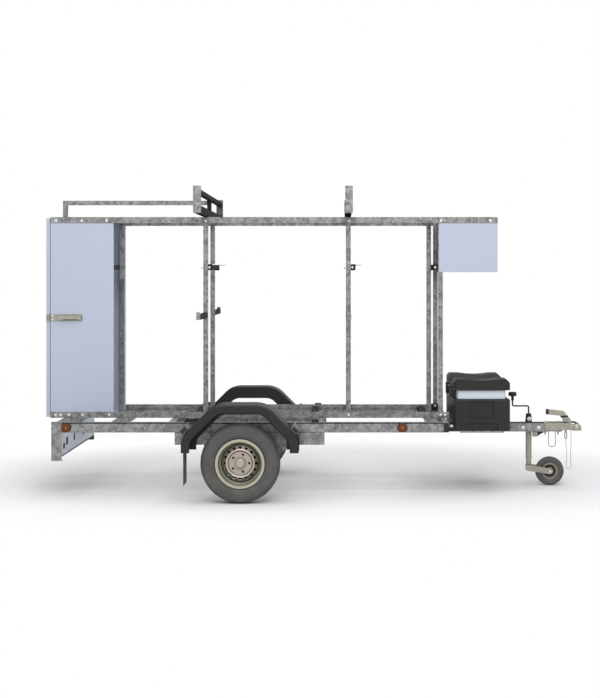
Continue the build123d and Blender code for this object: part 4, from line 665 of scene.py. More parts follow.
@dataclass(frozen=True)
class Finish:
    """A procedural finish.

    Args:
        name: of its material, and of the record's slot where it has one.
        colour: sRGB code.
        roughness: of the surface.
        metallic: share of metal.
        spangle: how far the zinc crystals move the tone either way.
        spangle_scale: crystals to the metre.
        grain: depth of the grain in metres.
        grain_scale: grains to the metre.
        wear: share of bare metal at the edges.
        dust: share of dust near the ground.
        ribs: pitch of level ribs in metres, or none.
        coat: weight of a clear coat.
        grime: share of painted shade, a dark tint laid in closed corners.
        reach: how far a closed corner looks for the sky, in metres.
        sheen: level of the plain reflection.
        edge_sheen: share of it that is left where the surface is seen edge on.
        rings: how far the wheel's rings change the tone; they hold painted shade and painted highlights.
        black_behind: X behind which the piece is black, or none.
    """

    name: str
    colour: str
    roughness: float
    metallic: float = 0.0
    spangle: float = 0.0
    spangle_scale: float = 30.0
    grain: float = 0.0
    grain_scale: float = 400.0
    wear: float = 0.0
    dust: float = 0.0
    ribs: float = 0.0
    coat: float = 0.0
    # Share of painted shade laid in closed corners.
    grime: float = 0.0
    reach: float = 0.04
    sheen: float = 0.5
    edge_sheen: float = 0.0
    rings: float = 0.0
    black_behind: float = 0.0

    def material(self, effects: Effects) -> bpy.types.Material:
        """Builds the material from the shared groups.

        Args:
            effects: holds the groups.

        Returns:
            The material.
        """
        made = bpy.data.materials.new(self.name)
        made.use_nodes = True
        tree = made.node_tree
        shader = tree.nodes["Principled BSDF"]
        shader.inputs["Metallic"].default_value = self.metallic
        shader.inputs["Coat Weight"].default_value = self.coat
        self._dim_edges(tree, shader)
        colour, rough = self._crystals(tree, effects, linear(self.colour))
        colour = self._wheel_rings(tree, effects, colour)
        for effect, tint, values in self._layers():
            mask = self._group(tree, effects, effect, **values).outputs["Mask"]
            colour = self._mix(tree, "MIX", mask, colour, linear(tint.value))
        self._feed(tree, shader.inputs["Base Color"], colour)
        self._feed(tree, shader.inputs["Roughness"], rough)
        self._roughen(tree, effects, shader)
        return made

    def _layers(self) -> list[tuple[Effect, Tint, dict[str, float]]]:
        """Lists the masked colours from the lowest to the topmost.

        Returns:
            Each layer's effect, its tint and its group's values.
        """
        wear_radius, dust_reach = 0.0015, 0.8
        layers = []
        if self.black_behind:
            layers.append((Effect.BEHIND, Tint.BLACK, {"Limit": self.black_behind}))
        if self.wear:
            layers.append((Effect.WEAR, Tint.BARE_METAL, {"Radius": wear_radius, "Amount": self.wear}))
        # Painted shade: a dark tint in closed corners.
        if self.grime:
            layers.append((Effect.GRIME, Tint.GRIME, {"Reach": self.reach, "Amount": self.grime}))
        if self.dust:
            layers.append((Effect.DUST, Tint.DUST, {"Amount": self.dust, "Reach": dust_reach}))
        return layers

    def _dim_edges(self, tree: Tree, shader: Node) -> None:
        """Lowers the plain reflection where the surface is seen edge on.

        Args:
            tree: node tree of the material.
            shader: its Principled BSDF.
        """
        start, end = 0.70, 0.95
        facing = Effects.place(tree, "ShaderNodeLayerWeight", {"Blend": 0.5}).outputs["Facing"]
        level = Effects.ramp(tree, facing, start, end, self.sheen, self.sheen * self.edge_sheen)
        tree.links.new(level, shader.inputs["Specular IOR Level"])

    def _crystals(self, tree: Tree, effects: Effects, colour: Colour) -> tuple[Colour, Level]:
        """Varies the tone and the roughness from one zinc crystal to the next.

        Args:
            tree: node tree of the material.
            effects: holds the groups.
            colour: of the plain metal.

        Returns:
            The colour and the roughness.
        """
        darkest, lightest = 0.22, 0.78
        dullest, brightest = 0.2, 0.8
        duller, smoother = 0.12, 0.08
        if not self.spangle:
            return colour, self.roughness
        tone = self._group(tree, effects, Effect.SPANGLE, Scale=self.spangle_scale).outputs["Tone"]
        gain = Effects.ramp(tree, tone, darkest, lightest, 1 - self.spangle, 1 + self.spangle)
        rough = Effects.ramp(tree, tone, dullest, brightest,
                             self.roughness + duller, self.roughness - smoother)
        return self._mix(tree, "MULTIPLY", 1.0, colour, self._grey(tree, gain)), rough

    def _wheel_rings(self, tree: Tree, effects: Effects, colour: Colour) -> Colour:
        """Paints the rim's outer part and its rings, which hold painted shade and painted highlights.

        Args:
            tree: node tree of the material.
            effects: holds the groups.
            colour: of the disc.

        Returns:
            The colour.
        """
        if not self.rings:
            return colour
        rings = self._group(tree, effects, Effect.RINGS, Depth=self.rings).outputs
        colour = self._mix(tree, "MIX", rings["Outer"], colour, linear(Tint.OUTER_RIM.value))
        return self._mix(tree, "MULTIPLY", 1.0, colour, self._grey(tree, rings["Tone"]))

    def _roughen(self, tree: Tree, effects: Effects, shader: Node) -> None:
        """Raises the ribs or the grain.

        Args:
            tree: node tree of the material.
            effects: holds the groups.
            shader: its Principled BSDF.
        """
        if not (self.grain or self.ribs):
            return
        effect = Effect.RIBS if self.ribs else Effect.GRAIN
        values = {"Pitch": self.ribs} if self.ribs else {"Scale": self.grain_scale}
        height = self._group(tree, effects, effect, **values).outputs["Height"]
        links = {"Height": height, "Distance": self.grain, "Strength": 1.0}
        bump = Effects.place(tree, "ShaderNodeBump", links)
        tree.links.new(bump.outputs["Normal"], shader.inputs["Normal"])

    @staticmethod
    def _group(tree: Tree, effects: Effects, effect: Effect, **values: float) -> Node:
        """Places a shared group with its own values.

        Args:
            tree: node tree that takes it.
            effects: holds the groups.
            effect: which group.
            values: of its inputs.

        Returns:
            The node.
        """
        return Effects.place(tree, "ShaderNodeGroup", values, node_tree=effects.groups[effect])

    @staticmethod
    def _grey(tree: Tree, value: Level) -> Socket:
        """Returns the grey of a level."""
        return Effects.place(tree, "ShaderNodeCombineColor", {0: value, 1: value, 2: value}).outputs[0]

    @staticmethod
    def _mix(tree: Tree, kind: str, factor: Level, first: Colour, second: Colour) -> Socket:
        """Adds a colour mix and returns its output."""
        return Effects.place(tree, "ShaderNodeMix", {0: factor, 6: first, 7: second},
                             data_type="RGBA", blend_type=kind).outputs[2]

    @staticmethod
    def _feed(tree: Tree, socket: Socket, value: Colour | Level) -> None:
        """Feeds an input from a socket or sets it to a constant."""
        if isinstance(value, bpy.types.NodeSocket):
            tree.links.new(value, socket)
        else:
            socket.default_value = value


class Look(Enum):
    """The finishes that this trailer has."""

    # A grime share below lays painted shade, a dark tint, in closed corners.
    GALVANISED = Finish("galvanised", "858686", 0.42, metallic=0.3, spangle=0.40, spangle_scale=38, dust=0.12,
                        grime=0.55)
    PANEL_PAINT = Finish("panel_paint", "bac1d4", 0.42, grain=0.00004, grain_scale=500, coat=0.15,
                         edge_sheen=1.0)
    BLACK_PLASTIC = Finish("black_plastic", "232324", 0.42, grain=0.0002, grain_scale=900, grime=0.6,
                           sheen=0.3)
    BAR_RUBBER = Finish("bar_rubber", "171717", 0.62, grain=0.0001, grain_scale=700, sheen=0.3)
    FLAP_RUBBER = Finish("flap_rubber", "5c5b59", 0.7, grain=0.0012, ribs=0.014, dust=0.3)
    TYRE = Finish("tyre", "535353", 0.75, grain=0.00015, grain_scale=800, dust=0.2, grime=0.5, reach=0.012,
                  sheen=0.3)
    # Its rings lay painted shade over the vents and painted highlights in bands about the axle.
    WHEEL_PAINT = Finish("wheel_paint", "b5a99f", 0.34, metallic=0.35, grain=0.00003, dust=0.06, grime=0.5,
                         reach=0.05, rings=1.0)
    ZINC = Finish("zinc", "a19d90", 0.38, metallic=0.4, spangle=0.12, spangle_scale=60, wear=0.3, dust=0.1,
                  grime=0.6)
    GRIP_PLASTIC = Finish("grip_plastic", "1f1f20", 0.5, grain=0.0001, sheen=0.3)
    COLLAR_PLASTIC = Finish("collar_plastic", "e6effa", 0.38, grain=0.00008, grain_scale=700,
                            black_behind=1.0645)
    LAMP_RED = Finish("lamp_red", "8e1512", 0.16, coat=0.6)
    LAMP_AMBER = Finish("lamp_amber", "6d360a", 0.3, sheen=0.3)
    LAMP_CENTRE = Finish("lamp_centre", "c9803a", 0.3, sheen=0.3)
    WIRE = Finish("wire", "8d8d88", 0.34, metallic=0.5, grain=0.00005)
    BOLT_ZINC = Finish("bolt_zinc", "e2e2de", 0.32, metallic=0.25)
    LAMP_WHITE = Finish("lamp_white", "dcdcd6", 0.14, coat=0.6)
    # Black for painted shade: in the wheels' bolt holes, behind their vents, along the rails, in the latch's
    # slot and in the jockey wheel's hubs.
    DARK_GAP = Finish("dark_gap", "161617", 0.7, sheen=0.2)
    SLATE_GAP = Finish("slate_gap", "3d4150", 0.6, sheen=0.3)
    CHROME_TRIM = Finish("chrome_trim", "cfcfd2", 0.12, metallic=0.9)


# ---------------------------------------------------------------- workshop
class Workshop:
    """Turns surfaces into painted pieces that ride on the frame."""

    def __init__(self, record: dict[str, Any]) -> None:
        """Makes the materials.

        Args:
            record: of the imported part.
        """
        effects = Effects()
        self.slots = {material["slot"] for material in record["materials"]}
        self.materials = {look.value.name: look.value.material(effects) for look in Look}
        self.count = 0

    def paint_frame(self, packed: dict[str, Any]) -> None:
        """Gives every node of the frame the material of its slot.

        Args:
            packed: the loaded frame.
        """
        for part in packed["record"]["subparts"]:
            mesh = packed["nodes"][part["node"]].data
            mesh.materials.clear()
            mesh.materials.append(self.materials[part["material_slot"]])

    def add(self, name: str, surface: Surface, look: Look, body: Body = Body.CHASSIS,
            smooth: bool = True) -> bpy.types.Object:
        """Makes one piece.

        Args:
            name: of the object.
            surface: its shape, in the frame's axes.
            look: its finish.
            body: what it rides on.
            smooth: whether shading runs over shallow edges.

        Returns:
            The object.
        """
        mesh = self._mesh(name, surface, smooth)
        finish = look.value.name
        mesh.materials.append(self.materials[finish])
        piece = bpy.data.objects.new(name, mesh)
        bpy.context.scene.collection.objects.link(piece)
        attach(piece, body.value)
        self.count += 1
        return piece

    @staticmethod
    def _mesh(name: str, surface: Surface, smooth: bool) -> bpy.types.Mesh:
        """Puts a surface into a mesh whose faces point outwards.

        Args:
            name: of the mesh.
            surface: its shape.
            smooth: whether shading runs over shallow edges.

        Returns:
            The mesh.
        """
        mesh = bpy.data.meshes.new(name)
        mesh.vertices.add(len(surface.points))
        mesh.vertices.foreach_set("co", surface.points.astype(np.float32).ravel())
        mesh.loops.add(len(surface.loops))
        mesh.loops.foreach_set("vertex_index", surface.loops.astype(np.int32))
        mesh.polygons.add(len(surface.sizes))
        starts = np.concatenate([[0], np.cumsum(surface.sizes)[:-1]]).astype(np.int32)
        mesh.polygons.foreach_set("loop_start", starts)
        mesh.update(calc_edges=True)
        mesh.validate()
        cleaned = bmesh.new()
        cleaned.from_mesh(mesh)
        bmesh.ops.recalc_face_normals(cleaned, faces=cleaned.faces)
        cleaned.to_mesh(mesh)
        cleaned.free()
        mesh.polygons.foreach_set("use_smooth", np.full(len(mesh.polygons), smooth))
        if smooth:
            mesh.set_sharp_from_angle(angle=SMOOTH_ANGLE)
        return mesh


# ---------------------------------------------------------------- wheels
@dataclass
class RoadWheels:
    """Tyres with their tread, the wheels' bolts and valves, and a black disc behind each wheel's vents that
    is painted shade; the bolts are black as painted shade of their holes.
    """

    section_half: float = 0.0775
    widest_radius: float = 0.2345
    crown_height: float = 0.0555
    bead_drop: float = 0.0680
    sweep: float = 145.0
    squareness: float = 2.9
    segments: int = 448
    rows: int = 102

    tread_foot: float = 0.268
    tread_rise: float = 0.008
    groove_depth: float = 0.0065
    groove_width: float = 0.0036
    groove_places: tuple[float, ...] = (-0.038, -0.0135, 0.0135, 0.038)
    sipes: int = 64
    sipe_slant: float = 110.0
    sipe_depth: float = 0.75
    sipe_start: float = 0.020
    sipe_fade: float = 0.006
    sipe_band: tuple[float, float] = (0.80, 0.12)

    wall_radius: float = 0.27
    rib_height: float = 0.0009
    rib_width: float = 0.0016
    rib_radii: tuple[float, ...] = (0.203, 0.212, 0.262)

    bolts: int = 5
    bolt_circle: float = 0.065
    bolt_plane: float = 0.7362
    bolt_head: Surface = turned([(0.0090, 0), (0.0090, 0.0075), (0.0075, 0.0090)], 6)
    # A black disc behind the vents: painted shade seen through them.
    drum_plane: float = 0.668
    drum: Surface = turned([(0.058, 0), (0.126, 0), (0.128, 0.004), (0.128, 0.022), (0.124, 0.026),
                            (0.060, 0.026)], 64)
    valve_circle: float = 0.127
    valve_plane: float = 0.7440
    valve: Surface = turned([(0.0058, 0), (0.0052, 0.012), (0.0040, 0.016), (0.0040, 0.026),
                             (0.0034, 0.027)], 18)

    def tyre_surface(self) -> Surface:
        """Tyre about local Z.

        Its section is |y / b|^n + |z / h|^n = 1 with n the squareness.  Grooves of smooth width
        run round the tread, slanted sipes cut its shoulders, and low ribs run round the walls.

        Returns:
            The surface.
        """
        sweep = np.linspace(-math.radians(self.sweep), math.radians(self.sweep), self.rows)
        power = 2 / self.squareness
        sine, cosine = np.sin(sweep), np.cos(sweep)
        across = self.section_half * np.sign(sine) * np.abs(sine) ** power
        rise = np.where(cosine > 0, self.crown_height, self.bead_drop)
        radius = self.widest_radius + rise * np.sign(cosine) * np.abs(cosine) ** power
        angle = np.linspace(0, 2 * np.pi, self.segments, endpoint=False)[None]
        across, radius = across[:, None], radius[:, None]
        radius = radius - self._cuts(across, radius, angle)
        rib = sum(np.exp(-((radius - place) / self.rib_width) ** 2) for place in self.rib_radii)
        wall = across - np.sign(across) * self.rib_height * (1 - rib) * (radius < self.wall_radius)
        rings = np.stack([radius * np.cos(angle), radius * np.sin(angle),
                          np.broadcast_to(wall, radius.shape)], -1)
        return lofted(rings, capped=False)

    def _cuts(self, across: np.ndarray, radius: np.ndarray, angle: np.ndarray) -> np.ndarray:
        """Depth of the tread's grooves and sipes.

        A groove is exp(-(distance / width)^4). A sipe is where the cosine of a slanted angle is high.

        Args:
            across: place across the tyre, a column.
            radius: of the uncut tyre, a column.
            angle: round the tyre, a row.

        Returns:
            The depth at each point.
        """
        tread = np.clip((radius - self.tread_foot) / self.tread_rise, 0, 1)
        grooves = sum(np.exp(-((across - place) / self.groove_width) ** 4) for place in self.groove_places)
        slant = self.sipes * angle + across * self.sipe_slant * np.sign(across)
        level, fade = self.sipe_band
        shoulder = np.clip((np.abs(across) - self.sipe_start) / self.sipe_fade, 0, 1)
        sipe = np.clip((np.cos(slant) - level) / fade, 0, 1) * shoulder
        return self.groove_depth * tread * np.clip(grooves + self.sipe_depth * sipe, 0, 1)

    def build(self, shop: Workshop) -> None:
        """Adds both wheels' pieces.

        Args:
            shop: makes the pieces.
        """
        for side in Side:
            node = f"tyre_{side.label}"
            low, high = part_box(node)
            centre = (low + high) / 2
            body = Body[f"WHEEL_{side.name}"]
            tyre = shop.add(f"road_tyre_{side.label}", self.tyre_surface().facing(side.outwards).at(*centre),
                            Look.TYRE, body)
            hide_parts(node)
            turn = 2 * np.pi * np.arange(self.bolts) / self.bolts
            places = np.stack([centre.x + self.bolt_circle * np.cos(turn),
                               np.full(self.bolts, side.value * self.bolt_plane),
                               centre.z + self.bolt_circle * np.sin(turn)], -1)
            heads = self.bolt_head.facing(side.outwards).copies(places)
            # The bolt heads are black: painted shade of the holes they sit in.
            shop.add(f"wheel_bolts_{side.label}", heads, Look.DARK_GAP, body)
            # The black disc behind the vents is painted shade.
            drum = self.drum.facing(side.outwards).at(centre.x, side.value * self.drum_plane, centre.z)
            shop.add(f"vent_shade_disc_{side.label}", drum, Look.DARK_GAP, body)
            valve = self.valve.facing(side.outwards)
            shop.add(f"valve_{side.label}",
                     valve.at(centre.x + self.valve_circle, side.value * self.valve_plane, centre.z),
                     Look.GRIP_PLASTIC, body)


# ---------------------------------------------------------------- frame trim
@dataclass
class RailTrim:
    """Bolts of the frame's rails, and painted shadow strips, brackets, clips and buffers on the chassis
    rails.
    """

    bolt_head: Surface = button(0.0105, 0.0042)
    top_bolt_xs: tuple[float, ...] = (-1.992, -1.796, -1.606, -0.851, 0.243, 0.944, 1.319)
    top_bolt_rise: float = 0.018
    foot_bolt_xs: tuple[float, ...] = (-1.995, -1.955, -1.893, -1.789, -1.586, 0.240, 0.941, 0.973)
    foot_bolt_rise: float = 0.022

    sunk: float = 0.0002
    # The strip along each chassis rail is a painted shadow line.
    strip_inset: float = 0.005
    strip_height: float = 0.0085
    strip_depth: float = 0.0012
    strip_drop: float = 0.0058

    bracket_outline: Profile = ((-0.981, -0.0002), (-0.957, 0.027), (-0.862, 0.027), (-0.862, -0.0002))
    bracket_half: float = 0.016
    bracket_y: float = 0.5965

    clip: Surface = plate(0.052, 0.034, 0.020, 0.004, 0.001)
    clip_place: tuple[float, float] = (-0.009, 0.594)
    clip_sunk: float = 0.0003

    buffer: Surface = plate(0.040, 0.032, 0.041, 0.004, 0.001)
    buffer_sunk: float = 0.0005
    buffer_y: float = 0.575
    buffer_z: float = 0.518
    stud: Surface = bolt(0.0115, 0.014, 1.3)
    stud_reach: float = 0.023
    stud_z: float = 0.5338

    cap_outline: Surface = bezel(0.052, 0.033, 0.0022, 0.0006)
    cap_spread: float = 0.4013
    cap_sunk: float = 0.0003
    cap_turn: float = math.pi / 4

    def build(self, shop: Workshop, side: Side) -> None:
        """Adds one side's pieces.

        Args:
            shop: makes the pieces.
            side: of the trailer.
        """
        top_low, top_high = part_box("top_rails")
        foot_low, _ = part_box("bottom_rails")
        face = side.value * top_high.y
        places = [(x, face, top_low.z + self.top_bolt_rise) for x in self.top_bolt_xs]
        places += [(x, face, foot_low.z + self.foot_bolt_rise) for x in self.foot_bolt_xs]
        heads = self.bolt_head.facing(side.outwards).copies(places)
        shop.add(f"rail_bolts_{side.label}", heads, Look.BOLT_ZINC)
        self._on_rail(shop, side)
        self._on_front(shop, side)
        self._on_caps(shop, side)

    def _on_rail(self, shop: Workshop, side: Side) -> None:
        """Adds the dark strip along a chassis rail, a painted shadow line along its top edge, and the bracket
        and the clip on it.

        Args:
            shop: makes the pieces.
            side: of the trailer.
        """
        low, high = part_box("chassis_rails")
        length = high.x - low.x - 2 * self.strip_inset
        strip = plate(length, self.strip_height, self.strip_depth, corner=0.002, chamfer=0.0003)
        strip = strip.facing(side.outwards).at((low.x + high.x) / 2, side.value * (high.y - self.sunk),
                                               high.z - self.strip_drop)
        # Painted shadow: a dark strip for the shade line along the rail's top edge.
        shop.add(f"rail_shadow_strip_{side.label}", strip, Look.DARK_GAP)
        bracket = slab(self.bracket_outline, self.bracket_half).at(0, side.value * self.bracket_y, high.z)
        shop.add(f"fender_bracket_{side.label}", bracket, Look.GRIP_PLASTIC, smooth=False)
        x, y = self.clip_place
        shop.add(f"rail_clip_{side.label}", self.clip.at(x, side.value * y, high.z - self.clip_sunk),
                 Look.GRIP_PLASTIC)

    def _on_front(self, shop: Workshop, side: Side) -> None:
        """Adds the buffer on the front tube and its bolt.

        Args:
            shop: makes the pieces.
            side: of the trailer.
        """
        _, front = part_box("cross_members")
        y = side.value * self.buffer_y
        buffer = self.buffer.facing(Direction.FORWARDS).at(front.x - self.buffer_sunk, y, self.buffer_z)
        shop.add(f"tube_buffer_{side.label}", buffer, Look.GRIP_PLASTIC)
        shop.add(f"buffer_bolt_{side.label}", self.stud.at(front.x + self.stud_reach, y, self.stud_z),
                 Look.BOLT_ZINC)

    def _on_caps(self, shop: Workshop, side: Side) -> None:
        """Adds the light outlines on the caps of the fender's tubes.

        Args:
            shop: makes the pieces.
            side: of the trailer.
        """
        low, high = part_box("fenders")
        tube_low, tube_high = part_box("fender_supports")
        middle_x, middle_z = (low.x + high.x) / 2, (tube_low.z + tube_high.z) / 2
        outlines = [self.cap_outline.spun(side.value * end * self.cap_turn).facing(side.outwards)
                    .at(middle_x + end * self.cap_spread, side.value * (high.y - self.cap_sunk), middle_z)
                    for end in (-1, 1)]
        shop.add(f"cap_outlines_{side.label}", Surface.joined(outlines), Look.WIRE, smooth=False)


@dataclass
class ClipTrim:
    """Black clips of the load bars with their fasteners, and the front posts' foot brackets."""

    xs: tuple[float, ...] = (-0.8168, 0.2735, 0.905)
    sleeve_shift: Point = (0, 0.2447, 0)
    sleeve: Surface = plate(0.0358, 0.046, 0.0366, 0.005, 0.001)
    bar_half: float = 0.018

    bolt_head: Surface = button(0.0085, 0.004)
    bolt_shift: Point = (-0.006, 0.281, -0.002)
    nut: Surface = turned([(0.011, 0), (0.011, 0.015), (0.009, 0.017)], 6)
    nut_xs: tuple[float, ...] = (-0.8685, 0.2215, 0.9235)
    nut_shift: Point = (0, 0.2625, -0.002)
    pin: Surface = turned([(0.0045, 0), (0.0045, 0.056), (0.0030, 0.058)], 14)
    pin_shift: Point = (0.014, 0.270, 0.020)

    foot: Surface = plate(0.058, 0.054, 0.008, 0.006, 0.001)
    foot_place: Point = (0.936, 0.2452, 0.597)
    foot_bolt: Surface = bolt(0.0065, 0.006)
    foot_bolt_place: Point = (0.936, 0.2373, 0.606)

    def build(self, shop: Workshop, side: Side) -> None:
        """Adds one side's pieces.

        Args:
            shop: makes the pieces.
            side: of the trailer.
        """
        _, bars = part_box("load_bars")
        level = bars.z - self.bar_half
        for name, shape, facing, xs, (along, out, up), look in (
                ("sleeves", self.sleeve, side.outwards, self.xs, self.sleeve_shift, Look.BAR_RUBBER),
                ("bolts", self.bolt_head, side.outwards, self.xs, self.bolt_shift, Look.BOLT_ZINC),
                ("nuts", self.nut, Direction.REARWARDS, self.nut_xs, self.nut_shift, Look.BOLT_ZINC),
                ("pins", self.pin, Direction.FORWARDS, self.xs, self.pin_shift, Look.BOLT_ZINC)):
            places = [(x + along, side.value * out, level + up) for x in xs]
            shop.add(f"clip_{name}_{side.label}", shape.facing(facing).copies(places), look)
        for name, shape, (x, y, z), look in (("bracket", self.foot, self.foot_place, Look.GRIP_PLASTIC),
                                             ("bolt", self.foot_bolt, self.foot_bolt_place, Look.BOLT_ZINC)):
            placed = shape.facing(side.inwards).at(x, side.value * y, z)
            shop.add(f"foot_{name}_{side.label}", placed, look)


@dataclass
class FrameTrim:
    """Trim of both sides' rails and clips, the racks' pads and the panels' rivets."""

    rails: RailTrim
    clips: ClipTrim
    pad_length: float = 1.69
    pad_depth: float = 0.0016
    pad_margin: float = 0.006
    lower_bar_height: float = 0.062
    pad_faces: tuple[tuple[str, float, Direction], ...] = (("rear", -0.8322, Direction.FORWARDS),
                                                           ("front", 0.2182, Direction.REARWARDS))
    rivet: Surface = button(0.0045, 0.0016)
    rivet_x: float = -1.580
    rivet_rows: tuple[float, float, float] = (0.66, 2.03, 0.17)

    def build(self, shop: Workshop) -> None:
        """Adds the frame's pieces.

        Args:
            shop: makes the pieces.
        """
        for side in Side:
            self.rails.build(shop, side)
            self.clips.build(shop, side)
        self._racks(shop)
        self._rivets(shop)

    def _racks(self, shop: Workshop) -> None:
        """Adds the dark pads on the sides of the racks' bars that look towards each other.

        Args:
            shop: makes the pieces.
        """
        upper_low, upper_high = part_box("rack_upper_bars")
        lower_low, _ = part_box("rack_lower_bars")
        bars = ((upper_low.z, upper_high.z - upper_low.z), (lower_low.z, self.lower_bar_height))
        for name, x, facing in self.pad_faces:
            pads = [plate(self.pad_length, tall - 2 * self.pad_margin, self.pad_depth, 0.002, 0.0004)
                    .facing(facing).at(x, 0, foot + tall / 2) for foot, tall in bars]
            shop.add(f"rack_pads_{name}", Surface.joined(pads), Look.BAR_RUBBER)

    def _rivets(self, shop: Workshop) -> None:
        """Adds rows of rivets down the panels' edges.

        Args:
            shop: makes the pieces.
        """
        _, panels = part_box("cabinet_sides")
        rows = np.arange(*self.rivet_rows)
        for side in Side:
            edge = [(self.rivet_x, side.value * panels.y, z) for z in rows]
            shop.add(f"panel_rivets_{side.label}", self.rivet.facing(side.outwards).copies(edge),
                     Look.PANEL_PAINT)


# ---------------------------------------------------------------- rear lights
@dataclass
class RearLights:
    """Lamp lenses and reflectors on the board's rear side, and dark plates on its front that are painted
    shade of its slots.
    """

    lens_depth: float = 0.007
    lens_height: float = 0.088
    lens_sunk: float = 0.0001
    lamp_inset: float = 0.1075
    lenses: tuple[tuple[Look, float, float], ...] = (
        (Look.LAMP_RED, -0.004, 0.066), (Look.LAMP_AMBER, 0.066, 0.062), (Look.LAMP_WHITE, -0.071, 0.056))

    triangle_side: float = 0.150
    triangle_place: tuple[float, float] = (0.318, 0.385)
    triangle_sunk: float = 0.0002
    triangle_steps: tuple[tuple[float, float], ...] = ((1, 0), (1, 0.006), (0.94, 0.008))

    # Slots on the board's front: dark plates that are painted shade of the openings.
    slots: tuple[tuple[float, float, float, float], ...] = (
        (0.541, 0.389, 0.062, 0.040), (0.433, 0.413, 0.062, 0.056), (0.171, 0.412, 0.042, 0.054))
    slot_depth: float = 0.0022
    slot_sunk: float = 0.0004
    edge_margin: float = 0.015
    edge_height: float = 0.009
    edge_rise: float = 0.0048

    def build(self, shop: Workshop) -> None:
        """Adds the triangles, the slots and the lenses.

        Args:
            shop: makes the pieces.
        """
        _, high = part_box("tail_lamps")
        for side in Side:
            self._triangle(shop, side, high.x)
        self._slots(shop)
        self._lenses(shop)

    def _lenses(self, shop: Workshop) -> None:
        """Adds one piece for each colour of lens.

        Args:
            shop: makes the pieces.
        """
        low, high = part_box("tail_lamps")
        face = low.x + self.lens_depth - self.lens_sunk
        middle_z = (low.z + high.z) / 2
        for look, shift, width in self.lenses:
            lens = plate(width, self.lens_height, self.lens_depth, corner=0.006, chamfer=0.002)
            lens = lens.facing(Direction.REARWARDS)
            middle_y = high.y - self.lamp_inset + shift
            pair = [lens.at(face, side.value * middle_y, middle_z) for side in Side]
            colour = look.value.name.removeprefix("lamp_")
            shop.add(f"tail_lens_{colour}", Surface.joined(pair), look)

    def _slots(self, shop: Workshop) -> None:
        """Adds dark plates for the slots on the board's front, painted shade of the openings, and a dark band
        along its lower edge.

        Args:
            shop: makes the pieces.
        """
        low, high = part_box("light_board")
        face = high.x - self.slot_sunk
        marks = [plate(wide, tall, self.slot_depth, 0.002, 0.0004).facing(Direction.FORWARDS)
                 .at(face, side.value * y, z) for side in Side for y, z, wide, tall in self.slots]
        edge = plate(high.y - low.y - 2 * self.edge_margin, self.edge_height, self.slot_depth, 0.003, 0.0004)
        marks.append(edge.facing(Direction.FORWARDS).at(face, 0, low.z + self.edge_rise))
        # The slots' plates are painted shade.
        shop.add("board_slots", Surface.joined(marks), Look.SLATE_GAP)

    def _triangle(self, shop: Workshop, side: Side, face: float) -> None:
        """Adds a triangular reflector, three rings of three corners each.

        Args:
            shop: makes the piece.
            side: of the trailer.
            face: X of the board's rear side.
        """
        turn = np.pi / 2 + 2 * np.pi * np.arange(3) / 3
        radius = self.triangle_side / math.sqrt(3)
        across, up = radius * np.cos(turn), radius * np.sin(turn)
        rings = [np.stack([scale * across, scale * up, np.full(3, level)], -1)
                 for scale, level in self.triangle_steps]
        shape = lofted(np.array(rings))
        shape = replace(shape, points=shape.points[:, [1, 0, 2]]).facing(Direction.REARWARDS)
        y, z = self.triangle_place
        shop.add(f"reflector_{side.label}", shape.at(face - self.triangle_sunk, side.value * y, z),
                 Look.LAMP_RED, smooth=False)


# ---------------------------------------------------------------- side markers
@dataclass
class SideMarkers:
    """Round amber reflectors: a black ring, a domed lens and its centre."""

    inset: float = 0.036
    ring: Surface = turned([(0.0335, -0.0150), (0.0350, -0.0130), (0.0350, -0.004), (0.0325, -0.001),
                            (0.0305, -0.0015)], capped=False)
    lens: Surface = dome(0.030, 0.0035, -0.0040, segments=36)
    centre: Surface = button(0.0075, 0.0012).at(0, 0, -0.0008)

    def build(self, shop: Workshop) -> None:
        """Adds a ring, a lens and a centre to each marker.

        Args:
            shop: makes the pieces.
        """
        low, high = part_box("side_markers")
        middle_z = (low.z + high.z) / 2
        for name, shape, look in (("rings", self.ring, Look.GRIP_PLASTIC),
                                  ("lenses", self.lens, Look.LAMP_AMBER),
                                  ("centres", self.centre, Look.LAMP_CENTRE)):
            placed = [shape.facing(side.outwards).at(x, side.value * high.y, middle_z)
                      for side in Side for x in (low.x + self.inset, high.x - self.inset)]
            shop.add(f"marker_{name}", Surface.joined(placed), look)


# ---------------------------------------------------------------- toolbox
@dataclass
class ToolboxTrim:
    """Catches and locks on the toolbox's front."""

    spread: float = 0.2
    drop: float = 0.055
    catch: Surface = plate(0.052, 0.046, 0.006, 0.006, 0.0015)
    catch_sunk: float = 0.0062
    lock: Surface = turned([(0.011, 0), (0.011, 0.004), (0.009, 0.0055)], 28)
    lock_sunk: float = 0.0045

    def build(self, shop: Workshop) -> None:
        """Adds both catches and their locks.

        Args:
            shop: makes the pieces.
        """
        _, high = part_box("toolbox_body")
        for name, shape, sunk, look in (("catches", self.catch, self.catch_sunk, Look.GRIP_PLASTIC),
                                        ("locks", self.lock, self.lock_sunk, Look.CHROME_TRIM)):
            places = [(high.x - sunk, y, high.z - self.drop) for y in (-self.spread, self.spread)]
            shop.add(f"toolbox_{name}", shape.facing(Direction.FORWARDS).copies(places), look)


